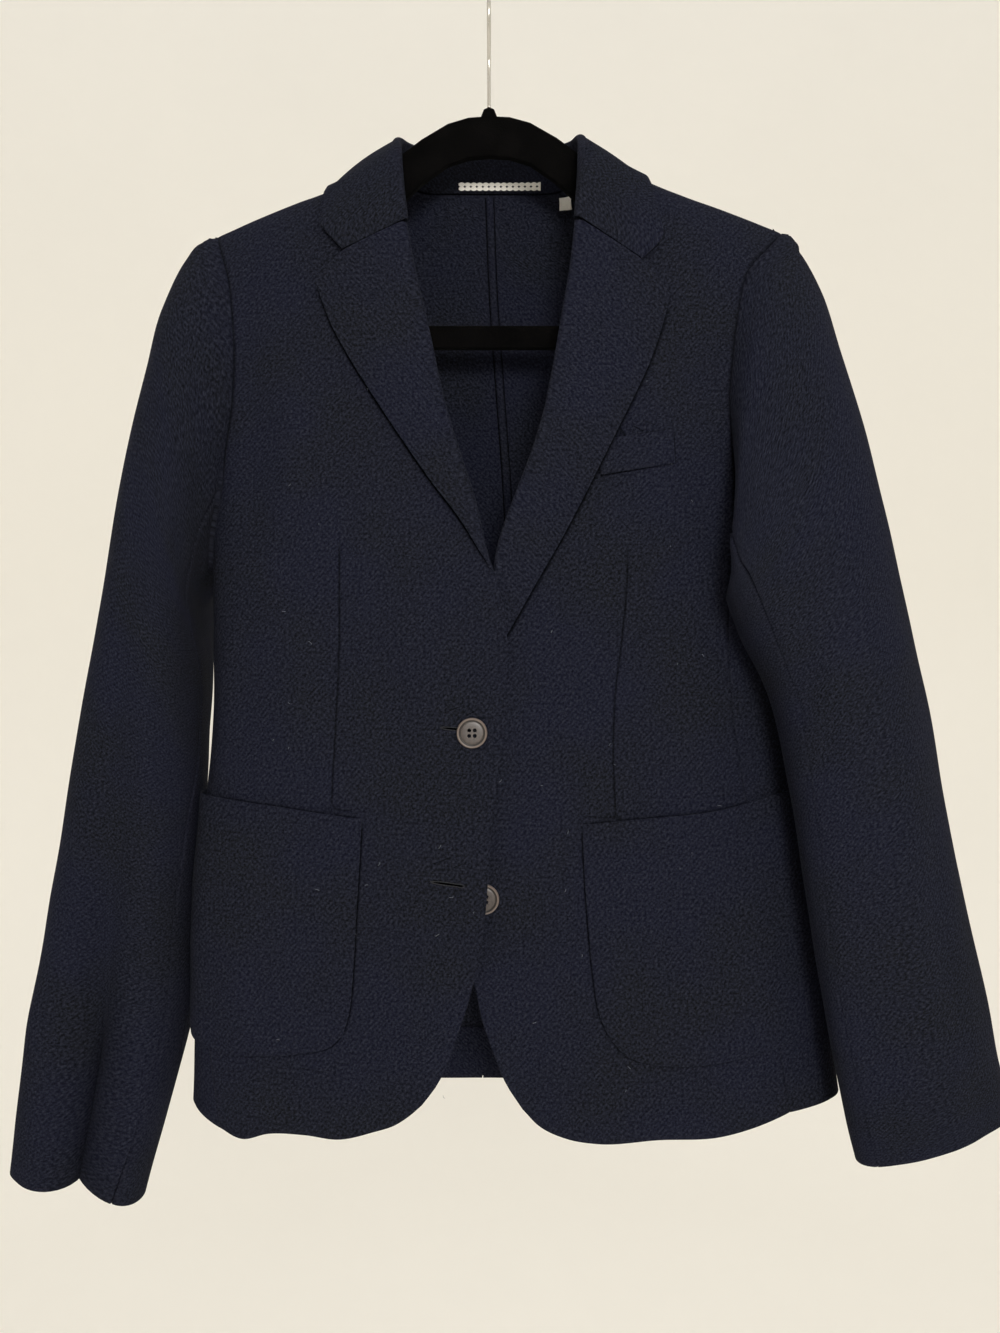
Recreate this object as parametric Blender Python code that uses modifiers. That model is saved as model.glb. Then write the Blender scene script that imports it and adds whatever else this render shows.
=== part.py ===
"""A single breasted two-button blazer on a velvet hanger, as separate cut and sewn pieces.

The frame: +Z up, the front faces -Y, the viewer's right is +X, and the origin is the inside of
the hook's top, where a rail or a door's edge carries the hanger. Names say left and right as the
wearer would. Every length in this file is in millimetres, and meshes are made in metres.

The body of the jacket is one smooth form, torso(), a rounded slab whose width and depth follow
the TORSO table and whose two faces close over the shoulders. Each panel is a patch of it between
four boundary curves. What lies on a panel is made from the same points, moved out.
"""

import math
from collections import namedtuple

import bpy
import numpy as np

MM = 0.001

# Driving sizes, in millimetres.
CLOTH = 1.8  # thickness of the wool
TRIM = 1.0  # thickness of tapes, the turn-up and the label
POCKET_CLOTH = 1.6
SEAM = 0.3  # gap between two pieces at a seam
SEAM_EASE = 0.2  # added at a seam that bends, so that the walls stay apart
ARMHOLE_GAP = 1.3  # room for the sleeve's turn at the armhole
SLAB_POWER = 3.0  # how square the body's cross-section is
RIDGE_GAP = 0.35  # half the gap of the shoulder seam, where the walls tilt
RIDGE = 45.0  # height over which the front and back close on the shoulder
RIDGE_TOP = 13.0  # how far either way from the shoulder seam counts as the shoulder's top
FOLD_GAP = 1.4  # from a front or neck edge to the piece that folds over it
ROLL = 2.6  # radius of the lapel's and collar's fold
COLLAR_CLEARANCE = 4.2  # from the body's middle surface to the collar's
LAPEL_LIFT = 4.4  # how far a lapel's edge stands off the front
OVERLAP_LIFT = 3.2  # how far the upper front stands off the lower one
POCKET_LIFT = CLOTH / 2 + SEAM + POCKET_CLOTH / 2 + 0.5
POCKET_WRAP = 0.8  # added to it where the pocket turns round the side
TRIM_LIFT = CLOTH / 2 + SEAM + TRIM / 2
SLEEVE_CLEARANCE = 6.2  # from the body's middle surface to the sleeve's

BUTTON_RADIUS = 9.7
BUTTON_HEIGHT = 3.4
BUTTON_RIM = 1.8
BUTTON_DISH = 0.7
BUTTON_HOLE_RADIUS = 1.25
BUTTON_HOLE_SPACING = 3.5
BUTTON_SIDES = 24
ROLL_LIFT = 3.2  # how much further the front edge stands off where the lapel begins to roll
BUTTON_BUMP = 5.8  # how far the front edge rises over the button that it half covers

WIRE_RADIUS = 1.25
HOOK_RADIUS = 18.0
NUB_TOP = -76.0
HANGER_THICKNESS = 6.0
HANGER_EDGE = 1.2
HANGER_TILT = math.radians(0.8)
BAR_TOP = -224.3
HANGER_FREE = 70.0  # half the width in which the arms show in the neck, clear of the shoulders
HANGER_REACH = 12.0  # an arm's edge this near a shoulder seam is carried up to it
HANGER_SEAT = 2.6  # from the shoulder seam down to the arm, with the cloth's wall between

WOOL = ("wool twill", (0.0147, 0.0147, 0.0232), 0.92, 0.0)
VELVET = ("flocked velvet", (0.0045, 0.0040, 0.0040), 0.95, 0.0)
STEEL = ("plated steel wire", (0.62, 0.61, 0.60), 0.2, 1.0)
BUTTON = ("polyester resin button", (0.075, 0.058, 0.052), 0.35, 0.0)
TAPE = ("woven cotton tape", (0.42, 0.42, 0.43), 0.85, 0.0)
LABEL = ("satin label tape", (0.70, 0.69, 0.66), 0.6, 0.0)

Ring = namedtuple("Ring", "z left right front back")
TORSO = (
    Ring(-80, -190, 203, 23, 36),
    Ring(-180, -190, 203, 26, 38),
    Ring(-250, -188, 200, 30, 38),
    Ring(-330, -186, 196, 35, 39),
    Ring(-410, -185, 195, 38, 40),
    Ring(-500, -185.5, 200, 39, 40),
    Ring(-560, -191, 210, 40, 41),
    Ring(-615, -196, 219, 41, 42),
    Ring(-690, -197, 229, 42, 42),
    Ring(-760, -199, 237, 42, 42),
)

# The shoulder seams seen from the front, as x and z.
SHOULDER_X = (-200, -183, -156, -128.5, -107, -90, -76, -63, 64, 78, 92, 103.5, 130, 157, 184, 210)
SHOULDER_Z = (-171.2, -164.6, -153.2, -142.3, -134.4, -125.6, -116.6, -107, -103, -112.6, -120.6,
              -126.6, -137.5, -147, -157, -166.8)
NECK_RIGHT_X, NECK_LEFT_X = -63.0, 64.0
NECK_CURL = 10  # how late the back neck seam climbs to the shoulder
NECK_SHARES = (0, 0.3, 0.55, 0.72, 0.84, 0.92, 0.97, 1)
NECK_SLOPE = 1.2  # how steeply the back's ridge climbs inside the neck
BACK_NECK_Z = -118.0

# Curves on the body seen from the front, as (x, z) points.
ROLL_RIGHT = ((5, -401), (-2, -383), (-11, -354), (-22, -321), (-32, -288), (-43, -238),
              (-52, -199), (-57.5, -166), (-59, -142), (-62, -121))
ROLL_LEFT = ((3, -449), (4.5, -425), (6.5, -402), (9, -384), (13, -370), (22.5, -344),
             (31.5, -320), (39, -296), (45, -268), (52, -228), (58.5, -188), (61, -163),
             (62, -140), (63, -116))
GORGE_Z = -166.5  # where the roll line passes from the lapel to the collar
LAPEL_EDGE_RIGHT = ((6, -399), (-4, -384), (-18, -361), (-37, -336), (-57, -307), (-76, -278),
                    (-89, -257), (-102, -233), (-112.5, -204.5))
LAPEL_TOP_RIGHT = ((-58, -167.2), (-95, -185.8), (-112.5, -204.5))
LAPEL_EDGE_LEFT = ((4, -448), (12.5, -434), (31.8, -400), (45, -377), (61, -347), (78, -313),
                   (91, -287), (104, -259), (113, -233), (118, -212.5))
LAPEL_TOP_LEFT = ((60.8, -165.8), (100, -192), (118, -212.5))
FRONT_EDGE_RIGHT = ((-42, -734), (-33, -722), (-19, -688), (-10, -659), (-3, -624), (0, -590),
                    (2.4, -554), (6, -528), (9.4, -499), (11, -470), (12, -438), (8.5, -412), (5, -401))
FRONT_EDGE_LEFT = ((22, -738), (11, -721), (3, -701), (-4, -681), (-8, -662), (-14, -640),
                   (-22, -604), (-27, -560), (-28, -500), (-16, -472), (-4, -457), (3, -449))
HEM_RIGHT = ((-42, -734), (-51, -742), (-60, -748), (-74, -753), (-95, -758), (-118, -756),
             (-142, -756.5), (-160, -761), (-176, -756))
HEM_LEFT = ((22, -738), (33, -749), (51, -757), (70, -760), (110, -758), (149, -757), (172, -752),
            (192, -744))
ARMHOLE_RIGHT_FRONT = ((-183.0, -164.6), (-179, -178), (-173.5, -195), (-169.5, -225),
                       (-168, -255), (-169.5, -285), (-174, -315), (-177.5, -345))
ARMHOLE_RIGHT_BACK = ((-183.0, -164.6), (-177, -182), (-169, -208), (-164, -250),
                      (-164, -295), (-168, -335), (-174, -362))
ARMHOLE_LEFT_FRONT = ((197.5, -161.6), (186, -176), (171, -194), (165, -217), (160, -251),
                      (157.5, -283), (159, -306), (160.5, -330), (160, -355))
ARMHOLE_LEFT_BACK = ((197.5, -161.6), (188, -178), (178, -205), (171, -250), (170, -295),
                     (174, -335), (181, -362))

# The side panels: how far round the body, in degrees from the front, their seams lie, and the
# height of the hem there.
SideSeam = namedtuple("SideSeam", "z front back")
SIDE_RIGHT = (SideSeam(-350, -80, -107), SideSeam(-450, -80, -113), SideSeam(-540, -78, -120),
              SideSeam(-690, -71, -127), SideSeam(-760, -62, -128))
SIDE_LEFT = (SideSeam(-350, 55, 108), SideSeam(-450, 52, 113), SideSeam(-540, 53, 120),
             SideSeam(-700, 53, 127), SideSeam(-760, 55, 128))
CORNER_DROP = 24.0  # from the last point of an armhole's leg down to the side panel's corner
ARMPIT_RIGHT, ARMPIT_LEFT = -392.0, -396.0
SIDE_HEM = -736.0
BACK_HEM = -751.0
CENTRE_BACK = ((0, -118), (3, -194), (7.5, -258), (13, -337), (16, -450), (8, -600), (-5, -752))
TURN_UP = 36.0
HEM_CURL = 3  # how late the back's hem climbs to the side seam
HEM_REACH = 49.0  # degrees either side of the centre back that the turn-up runs
TAPE_WIDTH = 6.5

WELT_BOTTOM = ((72, -332), (120.5, -324))
WELT_TOP = ((70, -309.5), (119.5, -302))
LABEL_LOW = ((50, -130), (60, -129))
LABEL_HIGH = ((50, -121), (60, -120))
LOOP_SPAN = (-22.0, 36.5)
LOOP_LOW, LOOP_HIGH = -116.0, -109.2
LOOP_EASE = 0.3
LABEL_EASE = 1.6  # the label hangs this far off the back


# ---------------------------------------------------------------------------------------------
# Curves and surfaces
# ---------------------------------------------------------------------------------------------


def smooth(knots, values, at):
    """A cubic through the knots, whose slope at each is that of its two neighbours."""
    knots, values = np.asarray(knots, float), np.asarray(values, float)
    at = np.clip(at, knots[0], knots[-1])
    slope = np.gradient(values, knots, axis=0)
    i = np.clip(np.searchsorted(knots, at, side="right") - 1, 0, len(knots) - 2)
    span = knots[i + 1] - knots[i]
    t = (at - knots[i]) / span
    if values.ndim > 1:
        t, span = t[..., None], span[..., None]
    start = (1 + 2 * t) * (1 - t) ** 2 * values[i] + t * (1 - t) ** 2 * span * slope[i]
    return start + t * t * (3 - 2 * t) * values[i + 1] + t * t * (t - 1) * span * slope[i + 1]


def smooth_step(share):
    """0 below 0, 1 above 1 and a smooth climb between."""
    share = np.clip(share, 0, 1)
    return share * share * (3 - 2 * share)


def trace(points, at):
    """The points of a smooth curve through these, at shares of its length from 0 to 1."""
    points = np.asarray(points, float)
    steps = np.linalg.norm(np.diff(points, axis=0), axis=1)
    along = np.concatenate([[0.0], np.cumsum(steps)])
    return smooth(along / along[-1], points, np.asarray(at, float))


def column(table, name, at, knots="z"):
    """A table's column, read at heights (or shares) as a smooth function."""
    rows = sorted(table, key=lambda row: getattr(row, knots))
    return smooth([getattr(r, knots) for r in rows], [getattr(r, name) for r in rows], at)


def coons(inner, outer, bottom, top, rows, columns):
    """A patch between four curves: the blend of both pairs of sides, less the blend of corners."""
    s, t = np.asarray(columns)[None, :, None], np.asarray(rows)[:, None, None]
    a, b = inner(rows)[:, None, :], outer(rows)[:, None, :]
    c, d = bottom(columns)[None, :, :], top(columns)[None, :, :]
    corners = (1 - s) * ((1 - t) * c[:, :1] + t * d[:, :1]) + s * ((1 - t) * c[:, -1:] + t * d[:, -1:])
    return (1 - s) * a + s * b + (1 - t) * c + t * d - corners


def shoulder(x):
    """Height of the shoulder seam over x, as the front sees it."""
    return smooth(SHOULDER_X, SHOULDER_Z, x)


def back_ridge(x):
    """The shoulder seam's height, climbing inside the neck, where the back stands away."""
    inside = np.minimum(x - NECK_RIGHT_X, NECK_LEFT_X - x)
    return shoulder(x) + NECK_SLOPE * np.maximum(inside, 0)


def width(z):
    """The body's middle and half width at a height."""
    left, right = column(TORSO, "left", z), column(TORSO, "right", z)
    return (left + right) / 2, (right - left) / 2


def ridge(drop):
    """A quarter circle: 0 on the shoulder seam, and 1 from RIDGE below it."""
    share = np.clip(drop / RIDGE, 0, 1)
    return np.sqrt(1 - (1 - share) ** 2)


def depth(x, z, behind):
    """How far the body's front or back stands from y = 0, before its sides round off."""
    line = np.where(behind, back_ridge(x), shoulder(x))
    close = ridge(line - z)
    full = np.where(behind, column(TORSO, "back", z), column(TORSO, "front", z))
    return full * close, RIDGE_GAP * (1 - close)


def torso(turn, z):
    """The body's middle surface: turn is the angle round it, 0 at the front and 90 at +X.

    Across, x follows the sine of the turn. The depth is the superellipse of SLAB_POWER.
    """
    turn, z = np.broadcast_arrays(np.asarray(turn, float), np.asarray(z, float))
    middle, half = width(z)
    across = np.sin(turn)
    behind = np.cos(turn) < 0
    x = middle + half * across
    side = (1 - np.abs(across) ** SLAB_POWER).clip(0) ** (1 / SLAB_POWER)
    full, gap = depth(x, z, behind)
    y = np.where(behind, 1.0, -1.0) * (full * side + gap)
    return np.stack([x, y, z], axis=-1)


def outward(turn, z, step=0.004):
    """The torso's normal, from its slopes along both parameters."""
    along = torso(turn + step, z) - torso(turn - step, z)
    up = torso(turn, z + 0.4) - torso(turn, z - 0.4)
    n = np.cross(along, up)
    return n / np.linalg.norm(n, axis=-1, keepdims=True)


def turn_of(x, z, behind=False):
    """The angle round the body of a point seen from the front or from behind."""
    middle, half = width(z)
    angle = np.arcsin(np.clip((x - middle) / half, -0.9998, 0.9998))
    return np.where(behind, np.sign(angle) * math.pi - angle, angle)


def seen(points, behind=False):
    """(x, z) points as (turn, z)."""
    points = np.asarray(points, float)
    return np.stack([turn_of(points[..., 0], points[..., 1], behind), points[..., 1]], axis=-1)


def on_body(patch, lift=0.0):
    """A (turn, z) patch on the torso, moved out by lift."""
    turn, z = patch[..., 0], patch[..., 1]
    lift = np.broadcast_to(np.asarray(lift, float), turn.shape)
    return torso(turn, z) + outward(turn, z) * lift[..., None]


def gap_turn(patch, gap):
    """A gap in millimetres as an angle round the body there."""
    turn, z = patch[..., 0], patch[..., 1]
    speed = np.linalg.norm(torso(turn + 0.01, z) - torso(turn - 0.01, z), axis=-1) / 0.02
    return gap / speed


def inset(patch, low=0.0, high=0.0):
    """A (turn, z) patch or curve with its turn moved by a gap at either end of its columns."""
    share = np.linspace(0, 1, patch.shape[1])[None, :]
    out = patch.copy()
    out[..., 0] += gap_turn(patch, 1.0) * (low * (1 - share) + high * share)
    return out


def even(count):
    return np.linspace(0, 1, count)


def crowded(count, power=1.9):
    """Shares from 0 to 1 that crowd towards 1."""
    return 1 - (1 - even(count)) ** power


# ---------------------------------------------------------------------------------------------
# Meshes
# ---------------------------------------------------------------------------------------------


def material(finish):
    name, colour, roughness, metallic = finish
    found = bpy.data.materials.get(name)
    if found:
        return found
    made = bpy.data.materials.new(name)
    made.use_nodes = True
    shader = made.node_tree.nodes["Principled BSDF"]
    shader.inputs["Base Color"].default_value = (*colour, 1)
    shader.inputs["Roughness"].default_value = roughness
    shader.inputs["Metallic"].default_value = metallic
    return made


def place(name, mesh, finish, sharp=math.radians(40)):
    mesh.materials.append(material(finish))
    mesh.shade_smooth()
    mesh.set_sharp_from_angle(angle=sharp)
    made = bpy.data.objects.new(name, mesh)
    blazer.objects.link(made)
    return made


def sheet(name, grid, thickness, finish, around=False):
    """A grid of points in millimetres as a wall of this thickness, centred on the grid.

    around closes the grid's columns into a tube.
    """
    rows, columns = grid.shape[:2]
    index = np.arange(rows * columns).reshape(rows, columns)
    if around:
        index = np.concatenate([index, index[:, :1]], axis=1)
    faces = np.stack([index[:-1, :-1], index[:-1, 1:], index[1:, 1:], index[1:, :-1]], axis=-1)
    mesh = bpy.data.meshes.new(name)
    mesh.from_pydata((grid.reshape(-1, 3) * MM).tolist(), [], faces.reshape(-1, 4).tolist())
    made = place(name, mesh, finish)
    wall = made.modifiers.new("wall", "SOLIDIFY")
    wall.thickness = thickness * MM
    wall.offset = 0
    return made


# ---------------------------------------------------------------------------------------------
# Fronts, side panels and back
# ---------------------------------------------------------------------------------------------


UPPER_BUTTON = (-10.3, -497.7)
LOWER_BUTTON = (-2.8, -603.6)
BUMP_ACROSS, BUMP_ALONG = 26.0, 42.0  # how far round the lower button the front rises over it
ROLL_BUMP = (8.0, -415.0, 18.0, 42.0)  # x, z and reach of the front's rise over the left lapel
LIFT_X, LIFT_EASE_X = -75.0, 40.0  # from where, and within how far, the upper front lifts
LIFT_Z, LIFT_EASE_Z = -360.0, 60.0


def overlap_lift(patch):
    """How far the upper front stands off the body: over the lower front, and over its button."""
    turn, z = patch[..., 0], patch[..., 1]
    x = torso(turn, z)[..., 0]
    across = smooth_step((x - LIFT_X) / LIFT_EASE_X)
    below = smooth_step((LIFT_Z - z) / LIFT_EASE_Z)
    away = ((x - LOWER_BUTTON[0]) / BUMP_ACROSS) ** 2 + ((z - LOWER_BUTTON[1]) / BUMP_ALONG) ** 2
    roll_x, roll_z, reach_x, reach_z = ROLL_BUMP
    roll = ((x - roll_x) / reach_x) ** 2 + ((z - roll_z) / reach_z) ** 2
    return OVERLAP_LIFT * across * below + BUTTON_BUMP * np.exp(-away) + ROLL_LIFT * np.exp(-roll)


SIDE_KNOTS = 9  # points along a side seam
NECK_COLUMNS, SHOULDER_COLUMNS = 9, 8  # across a back half: along its neck, then its shoulder


def side_turn(table, which, z):
    return np.radians(column(table, which, z))


def side_corner(table, which, leg):
    """The side panel's top corner, where an armhole's leg runs into its seam, as (turn, z)."""
    z = leg[-1][1] - CORNER_DROP
    return np.array([float(side_turn(table, which, z)), z])


def armhole_half(leg, table, which, armpit):
    """Half an armhole as (turn, z): the shoulder, the leg, the side panel's corner, the armpit."""
    corner = side_corner(table, which, leg)
    side = math.copysign(math.pi / 2, corner[0])
    middle = np.array([corner[0] * 0.5 + side * 0.5, corner[1] * 0.25 + armpit * 0.75])
    return np.concatenate([seen(leg, which == "back"), [corner, middle, [side, armpit]]])


def along_body(curve, at, cornered=False):
    """Points of a (turn, z) curve at shares of its real length on the body, smooth or cornered."""
    places = torso(curve[:, 0], curve[:, 1])
    steps = np.linalg.norm(np.diff(places, axis=0), axis=1)
    share = np.concatenate([[0.0], np.cumsum(steps)]) / steps.sum()
    at = np.asarray(at, float)
    if cornered:
        return np.stack([np.interp(at, share, curve[:, k]) for k in (0, 1)], axis=-1)
    return smooth(share, curve, at)


def share_of(curve, k):
    """The share of a (turn, z) curve's length at which its point k lies."""
    places = torso(curve[:, 0], curve[:, 1])
    steps = np.linalg.norm(np.diff(places, axis=0), axis=1)
    return steps[:k].sum() / steps.sum()


def meeting(shares, share):
    """Shares with the one nearest this one moved to it."""
    return np.where(np.arange(len(shares)) == np.abs(shares - share).argmin(), share, shares)


def side_seam(table, which, hem, corner):
    """A side seam as (turn, z), from the hem up to the side panel's corner."""
    z = hem + (corner[1] - hem) * crowded(SIDE_KNOTS, 2)
    return np.stack([side_turn(table, which, z), z], axis=-1)


def front_patch(roll, edge, hem, leg, table, neck, rows, columns):
    """A front as (turn, z): from the front edge and roll line to the side seam and armhole."""
    corner = side_corner(table, "front", leg)
    outer = np.concatenate([side_seam(table, "front", hem[-1][1], corner), seen(leg)[::-1]])
    top_x = np.linspace(neck, leg[0][0], 7)
    top = seen(np.stack([top_x, shoulder(top_x)], axis=-1))
    outer[-1] = top[-1]
    inner = np.concatenate([seen(edge + roll[1:]), top[:1]])
    bottom = seen(hem)
    bottom[-1] = outer[0]
    return coons(
        lambda t: along_body(inner, t),
        lambda t: along_body(outer, t),
        lambda s: along_body(bottom, s),
        lambda s: along_body(top, s, cornered=True),
        meeting(rows, share_of(outer, len(outer) - len(leg) - 1)),
        columns,
    )


def round_back(turn, sign):
    """Turns that run on past 180 degrees on this side of the body, so that a patch has no jump."""
    return np.where(turn * sign < 0, turn + sign * 2 * math.pi, turn)


def back_neck(neck):
    """Half the back's neck edge as (x, z), from the centre back to the shoulder seam."""
    share = np.array(NECK_SHARES)
    rise = (shoulder(np.float64(neck)) - BACK_NECK_Z) * share**NECK_CURL
    return np.stack([neck * share, BACK_NECK_Z + rise], axis=-1)


def back_patch(leg, table, neck, rows):
    """Half the back as (turn, z): from the centre-back seam to the side seam and armhole."""
    sign = math.copysign(1, neck)
    corner = side_corner(table, "back", leg)
    outer = np.concatenate([side_seam(table, "back", SIDE_HEM, corner), seen(leg, True)[::-1]])
    inner = seen(CENTRE_BACK[::-1], True)
    over_x = np.linspace(neck, leg[0][0], 6)[1:]
    over = np.stack([over_x, shoulder(over_x)], axis=-1)
    top = seen(np.concatenate([back_neck(neck), over]), True)
    at_neck = share_of(top, len(NECK_SHARES) - 1)
    for curve in (outer, inner, top):
        curve[:, 0] = round_back(curve[:, 0], sign)
    inner[-1] = top[0]
    outer[-1] = top[-1]
    share = even(7)
    bottom_turn = inner[0, 0] + (outer[0, 0] - inner[0, 0]) * share
    bottom_z = inner[0, 1] + (outer[0, 1] - inner[0, 1]) * share**HEM_CURL
    bottom = np.stack([bottom_turn, bottom_z], axis=-1)
    return coons(
        lambda t: along_body(inner, t),
        lambda t: along_body(outer, t),
        lambda s: along_body(bottom, s, cornered=True),
        lambda s: along_body(top, s, cornered=True),
        meeting(rows, share_of(outer, len(outer) - len(leg) - 1)),
        np.concatenate([even(NECK_COLUMNS)[:-1] * at_neck,
                        at_neck + (1 - at_neck) * even(SHOULDER_COLUMNS)]),
    )


def side_patch(front_leg, back_leg, table, armpit, hem, rows, columns):
    """A side panel as (turn, z), from its front seam round to its back seam."""
    front_corner = side_corner(table, "front", front_leg)
    back_corner = side_corner(table, "back", back_leg)
    front = side_seam(table, "front", hem, front_corner)
    back = side_seam(table, "back", SIDE_HEM, back_corner)
    front_half = armhole_half(front_leg, table, "front", armpit)[-3:]
    back_half = armhole_half(back_leg, table, "back", armpit)[-3:]
    top = np.concatenate([front_half, back_half[-2::-1]])
    share = even(5)
    bottom_turn = front[0, 0] + (back[0, 0] - front[0, 0]) * share
    bottom_z = hem + (SIDE_HEM - hem) * share**0.5
    bottom = np.stack([bottom_turn, bottom_z], axis=-1)
    return coons(
        lambda t: along_body(front, t),
        lambda t: along_body(back, t),
        lambda s: along_body(bottom, s, cornered=True),
        lambda s: along_body(top, s),
        rows,
        columns,
    )


def build_body():
    """Fronts, side panels and back halves. The wearer's right front is lifted over the left."""
    rows, columns = crowded(25, 1.6), even(12)
    half = SEAM / 2 + SEAM_EASE
    over = front_patch(ROLL_RIGHT, FRONT_EDGE_RIGHT, HEM_RIGHT, ARMHOLE_RIGHT_FRONT, SIDE_RIGHT,
                       NECK_RIGHT_X, rows, columns)
    over = inset(over, high=half)
    sheet("front_right", on_body(over, overlap_lift(over)), CLOTH, WOOL)
    under = front_patch(ROLL_LEFT, FRONT_EDGE_LEFT, HEM_LEFT, ARMHOLE_LEFT_FRONT, SIDE_LEFT,
                        NECK_LEFT_X, rows, columns)
    sheet("front_left", on_body(inset(under, high=-half)), CLOTH, WOOL)

    side = side_patch(ARMHOLE_RIGHT_FRONT, ARMHOLE_RIGHT_BACK, SIDE_RIGHT, ARMPIT_RIGHT,
                      HEM_RIGHT[-1][1], even(14), even(11))
    sheet("side_panel_right", on_body(inset(side, -half, half)), CLOTH, WOOL)
    side = side_patch(ARMHOLE_LEFT_FRONT, ARMHOLE_LEFT_BACK, SIDE_LEFT, ARMPIT_LEFT,
                      HEM_LEFT[-1][1], even(14), even(12))
    sheet("side_panel_left", on_body(inset(side, half, -half)), CLOTH, WOOL)

    rows = crowded(20)
    back = back_patch(ARMHOLE_RIGHT_BACK, SIDE_RIGHT, NECK_RIGHT_X, rows)
    sheet("back_right", on_body(inset(back, half, -half)), CLOTH, WOOL)
    back = back_patch(ARMHOLE_LEFT_BACK, SIDE_LEFT, NECK_LEFT_X, rows)
    sheet("back_left", on_body(inset(back, -half, half)), CLOTH, WOOL)


# ---------------------------------------------------------------------------------------------
# Lapels and collar
# ---------------------------------------------------------------------------------------------


def fold_over(start, normal, inward, radius, count):
    """A half circle of cloth at a fold: from start, round towards inward, to 2 radii above it."""
    beta = np.linspace(0, math.pi, count)[None, :, None]
    lifted = start[:, None] + normal[:, None] * (1 - np.cos(beta)) * radius[..., None]
    return lifted + inward[:, None] * np.sin(beta) * radius[..., None]


LAPEL_START = 0.03  # share up the roll line at which the lapel's own wall begins
LAPEL_OPENS = 0.45  # share up the roll line at which its fold is full


def lapel(name, roll, edge, top, side, lift_of, begin):
    """A lapel: the front's cloth folded over at the roll line, and lying just off the front.

    Its fold's radius grows up the roll line from this share of the whole.
    """
    rows, columns = LAPEL_START + (1 - LAPEL_START) * even(16), even(7) ** 1.2
    inner = seen([p for p in roll if p[1] < top[0][1] - 3] + [top[0]])
    outer = seen(edge)
    bottom = np.stack([inner[0], outer[0]])
    patch = coons(
        lambda t: along_body(inner, t),
        lambda t: along_body(outer, t),
        lambda s: along_body(bottom, s, cornered=True),
        lambda s: along_body(seen(top), s, cornered=True),
        rows,
        columns,
    )
    base_lift = lift_of(patch)
    start = on_body(patch[:, :1], base_lift[:, :1])[:, 0]
    normal = outward(patch[:, 0, 0], patch[:, 0, 1])
    down = np.gradient(start, axis=0)
    inward = np.cross(normal, down)
    inward /= np.linalg.norm(inward, axis=-1, keepdims=True)
    inward *= np.sign(inward[:, :1]) * side
    radius = ROLL * (begin + (1 - begin) * smooth_step(rows / LAPEL_OPENS))[:, None]
    start = start + inward * FOLD_GAP
    fold = fold_over(start, normal, inward, radius, 5)
    edge_lift = LAPEL_LIFT * (begin + (1 - begin) * smooth_step(rows / LAPEL_OPENS))[:, None]
    lift = base_lift + 2 * radius + (edge_lift - 2 * radius) * columns[None, :]
    face = on_body(patch, lift)
    sheet(name, np.concatenate([fold, face[:, 1:]], axis=1), CLOTH, WOOL)


Leaf = namedtuple("Leaf", "along out crown fold_x fold_y fold_z edge_x edge_y edge_z")
# The collar from the gorge to the centre back. out is the compass direction away from the neck
# there, in degrees from +X; crown is how far the fall bulges over the straight line to its edge.
COLLAR_RIGHT = (
    Leaf(0.00, -90, 0, -53.2, -27.5, -163.6, -95.0, -30.0, -184.0),
    Leaf(0.10, -92, 0, -54.2, -26.5, -155.0, -108.5, -28.0, -168.0),
    Leaf(0.22, -100, 1, -56.2, -23.0, -140.0, -109.5, -24.5, -157.0),
    Leaf(0.36, -140, 3, -59.2, -16.5, -113.5, -108.5, -14.0, -143.0),
    Leaf(0.48, -180, 2, -61.5, 2.0, -95.5, -106.0, 2.0, -130.0),
    Leaf(0.60, -215, 3, -56.0, 20.0, -90.0, -101.0, 26.0, -136.0),
    Leaf(0.74, -245, 3, -42.0, 33.0, -88.0, -72.0, 41.0, -140.0),
    Leaf(0.87, -260, 1, -22.0, 37.5, -86.0, -36.0, 45.0, -142.0),
    Leaf(1.00, -270, 1, 0.0, 38.6, -85.0, 0.0, 46.0, -143.0),
)
COLLAR_LEFT = (
    Leaf(0.00, -90, 0, 56.6, -27.5, -162.4, 100.0, -30.0, -190.2),
    Leaf(0.10, -88, 0, 57.2, -26.5, -153.0, 113.0, -28.0, -176.0),
    Leaf(0.22, -80, 1, 58.6, -23.0, -138.0, 111.0, -24.5, -160.0),
    Leaf(0.36, -40, 3, 60.8, -16.5, -111.0, 107.0, -14.0, -138.0),
    Leaf(0.48, 0, 0.5, 61.5, 2.0, -93.5, 103.0, 2.0, -123.0),
    Leaf(0.60, 35, 2, 57.0, 20.0, -88.5, 99.0, 26.0, -131.0),
    Leaf(0.74, 65, 2, 43.0, 33.0, -86.0, 72.0, 41.0, -138.0),
    Leaf(0.87, 80, 1, 22.0, 37.5, -85.0, 36.0, 45.0, -142.0),
    Leaf(1.00, 90, 1, 0.0, 38.6, -85.0, 0.0, 46.0, -143.0),
)


def unit(v):
    return v / np.linalg.norm(v, axis=-1, keepdims=True)


def neck_seam(roll, neck):
    """The seam that joins the collar to one side, from the gorge to the centre back."""
    front = seen([p for p in roll if p[1] > GORGE_Z])
    back = seen(back_neck(neck)[::-1], True)
    return np.concatenate([torso(front[:, 0], front[:, 1]), torso(back[:, 0], back[:, 1])])


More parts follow.
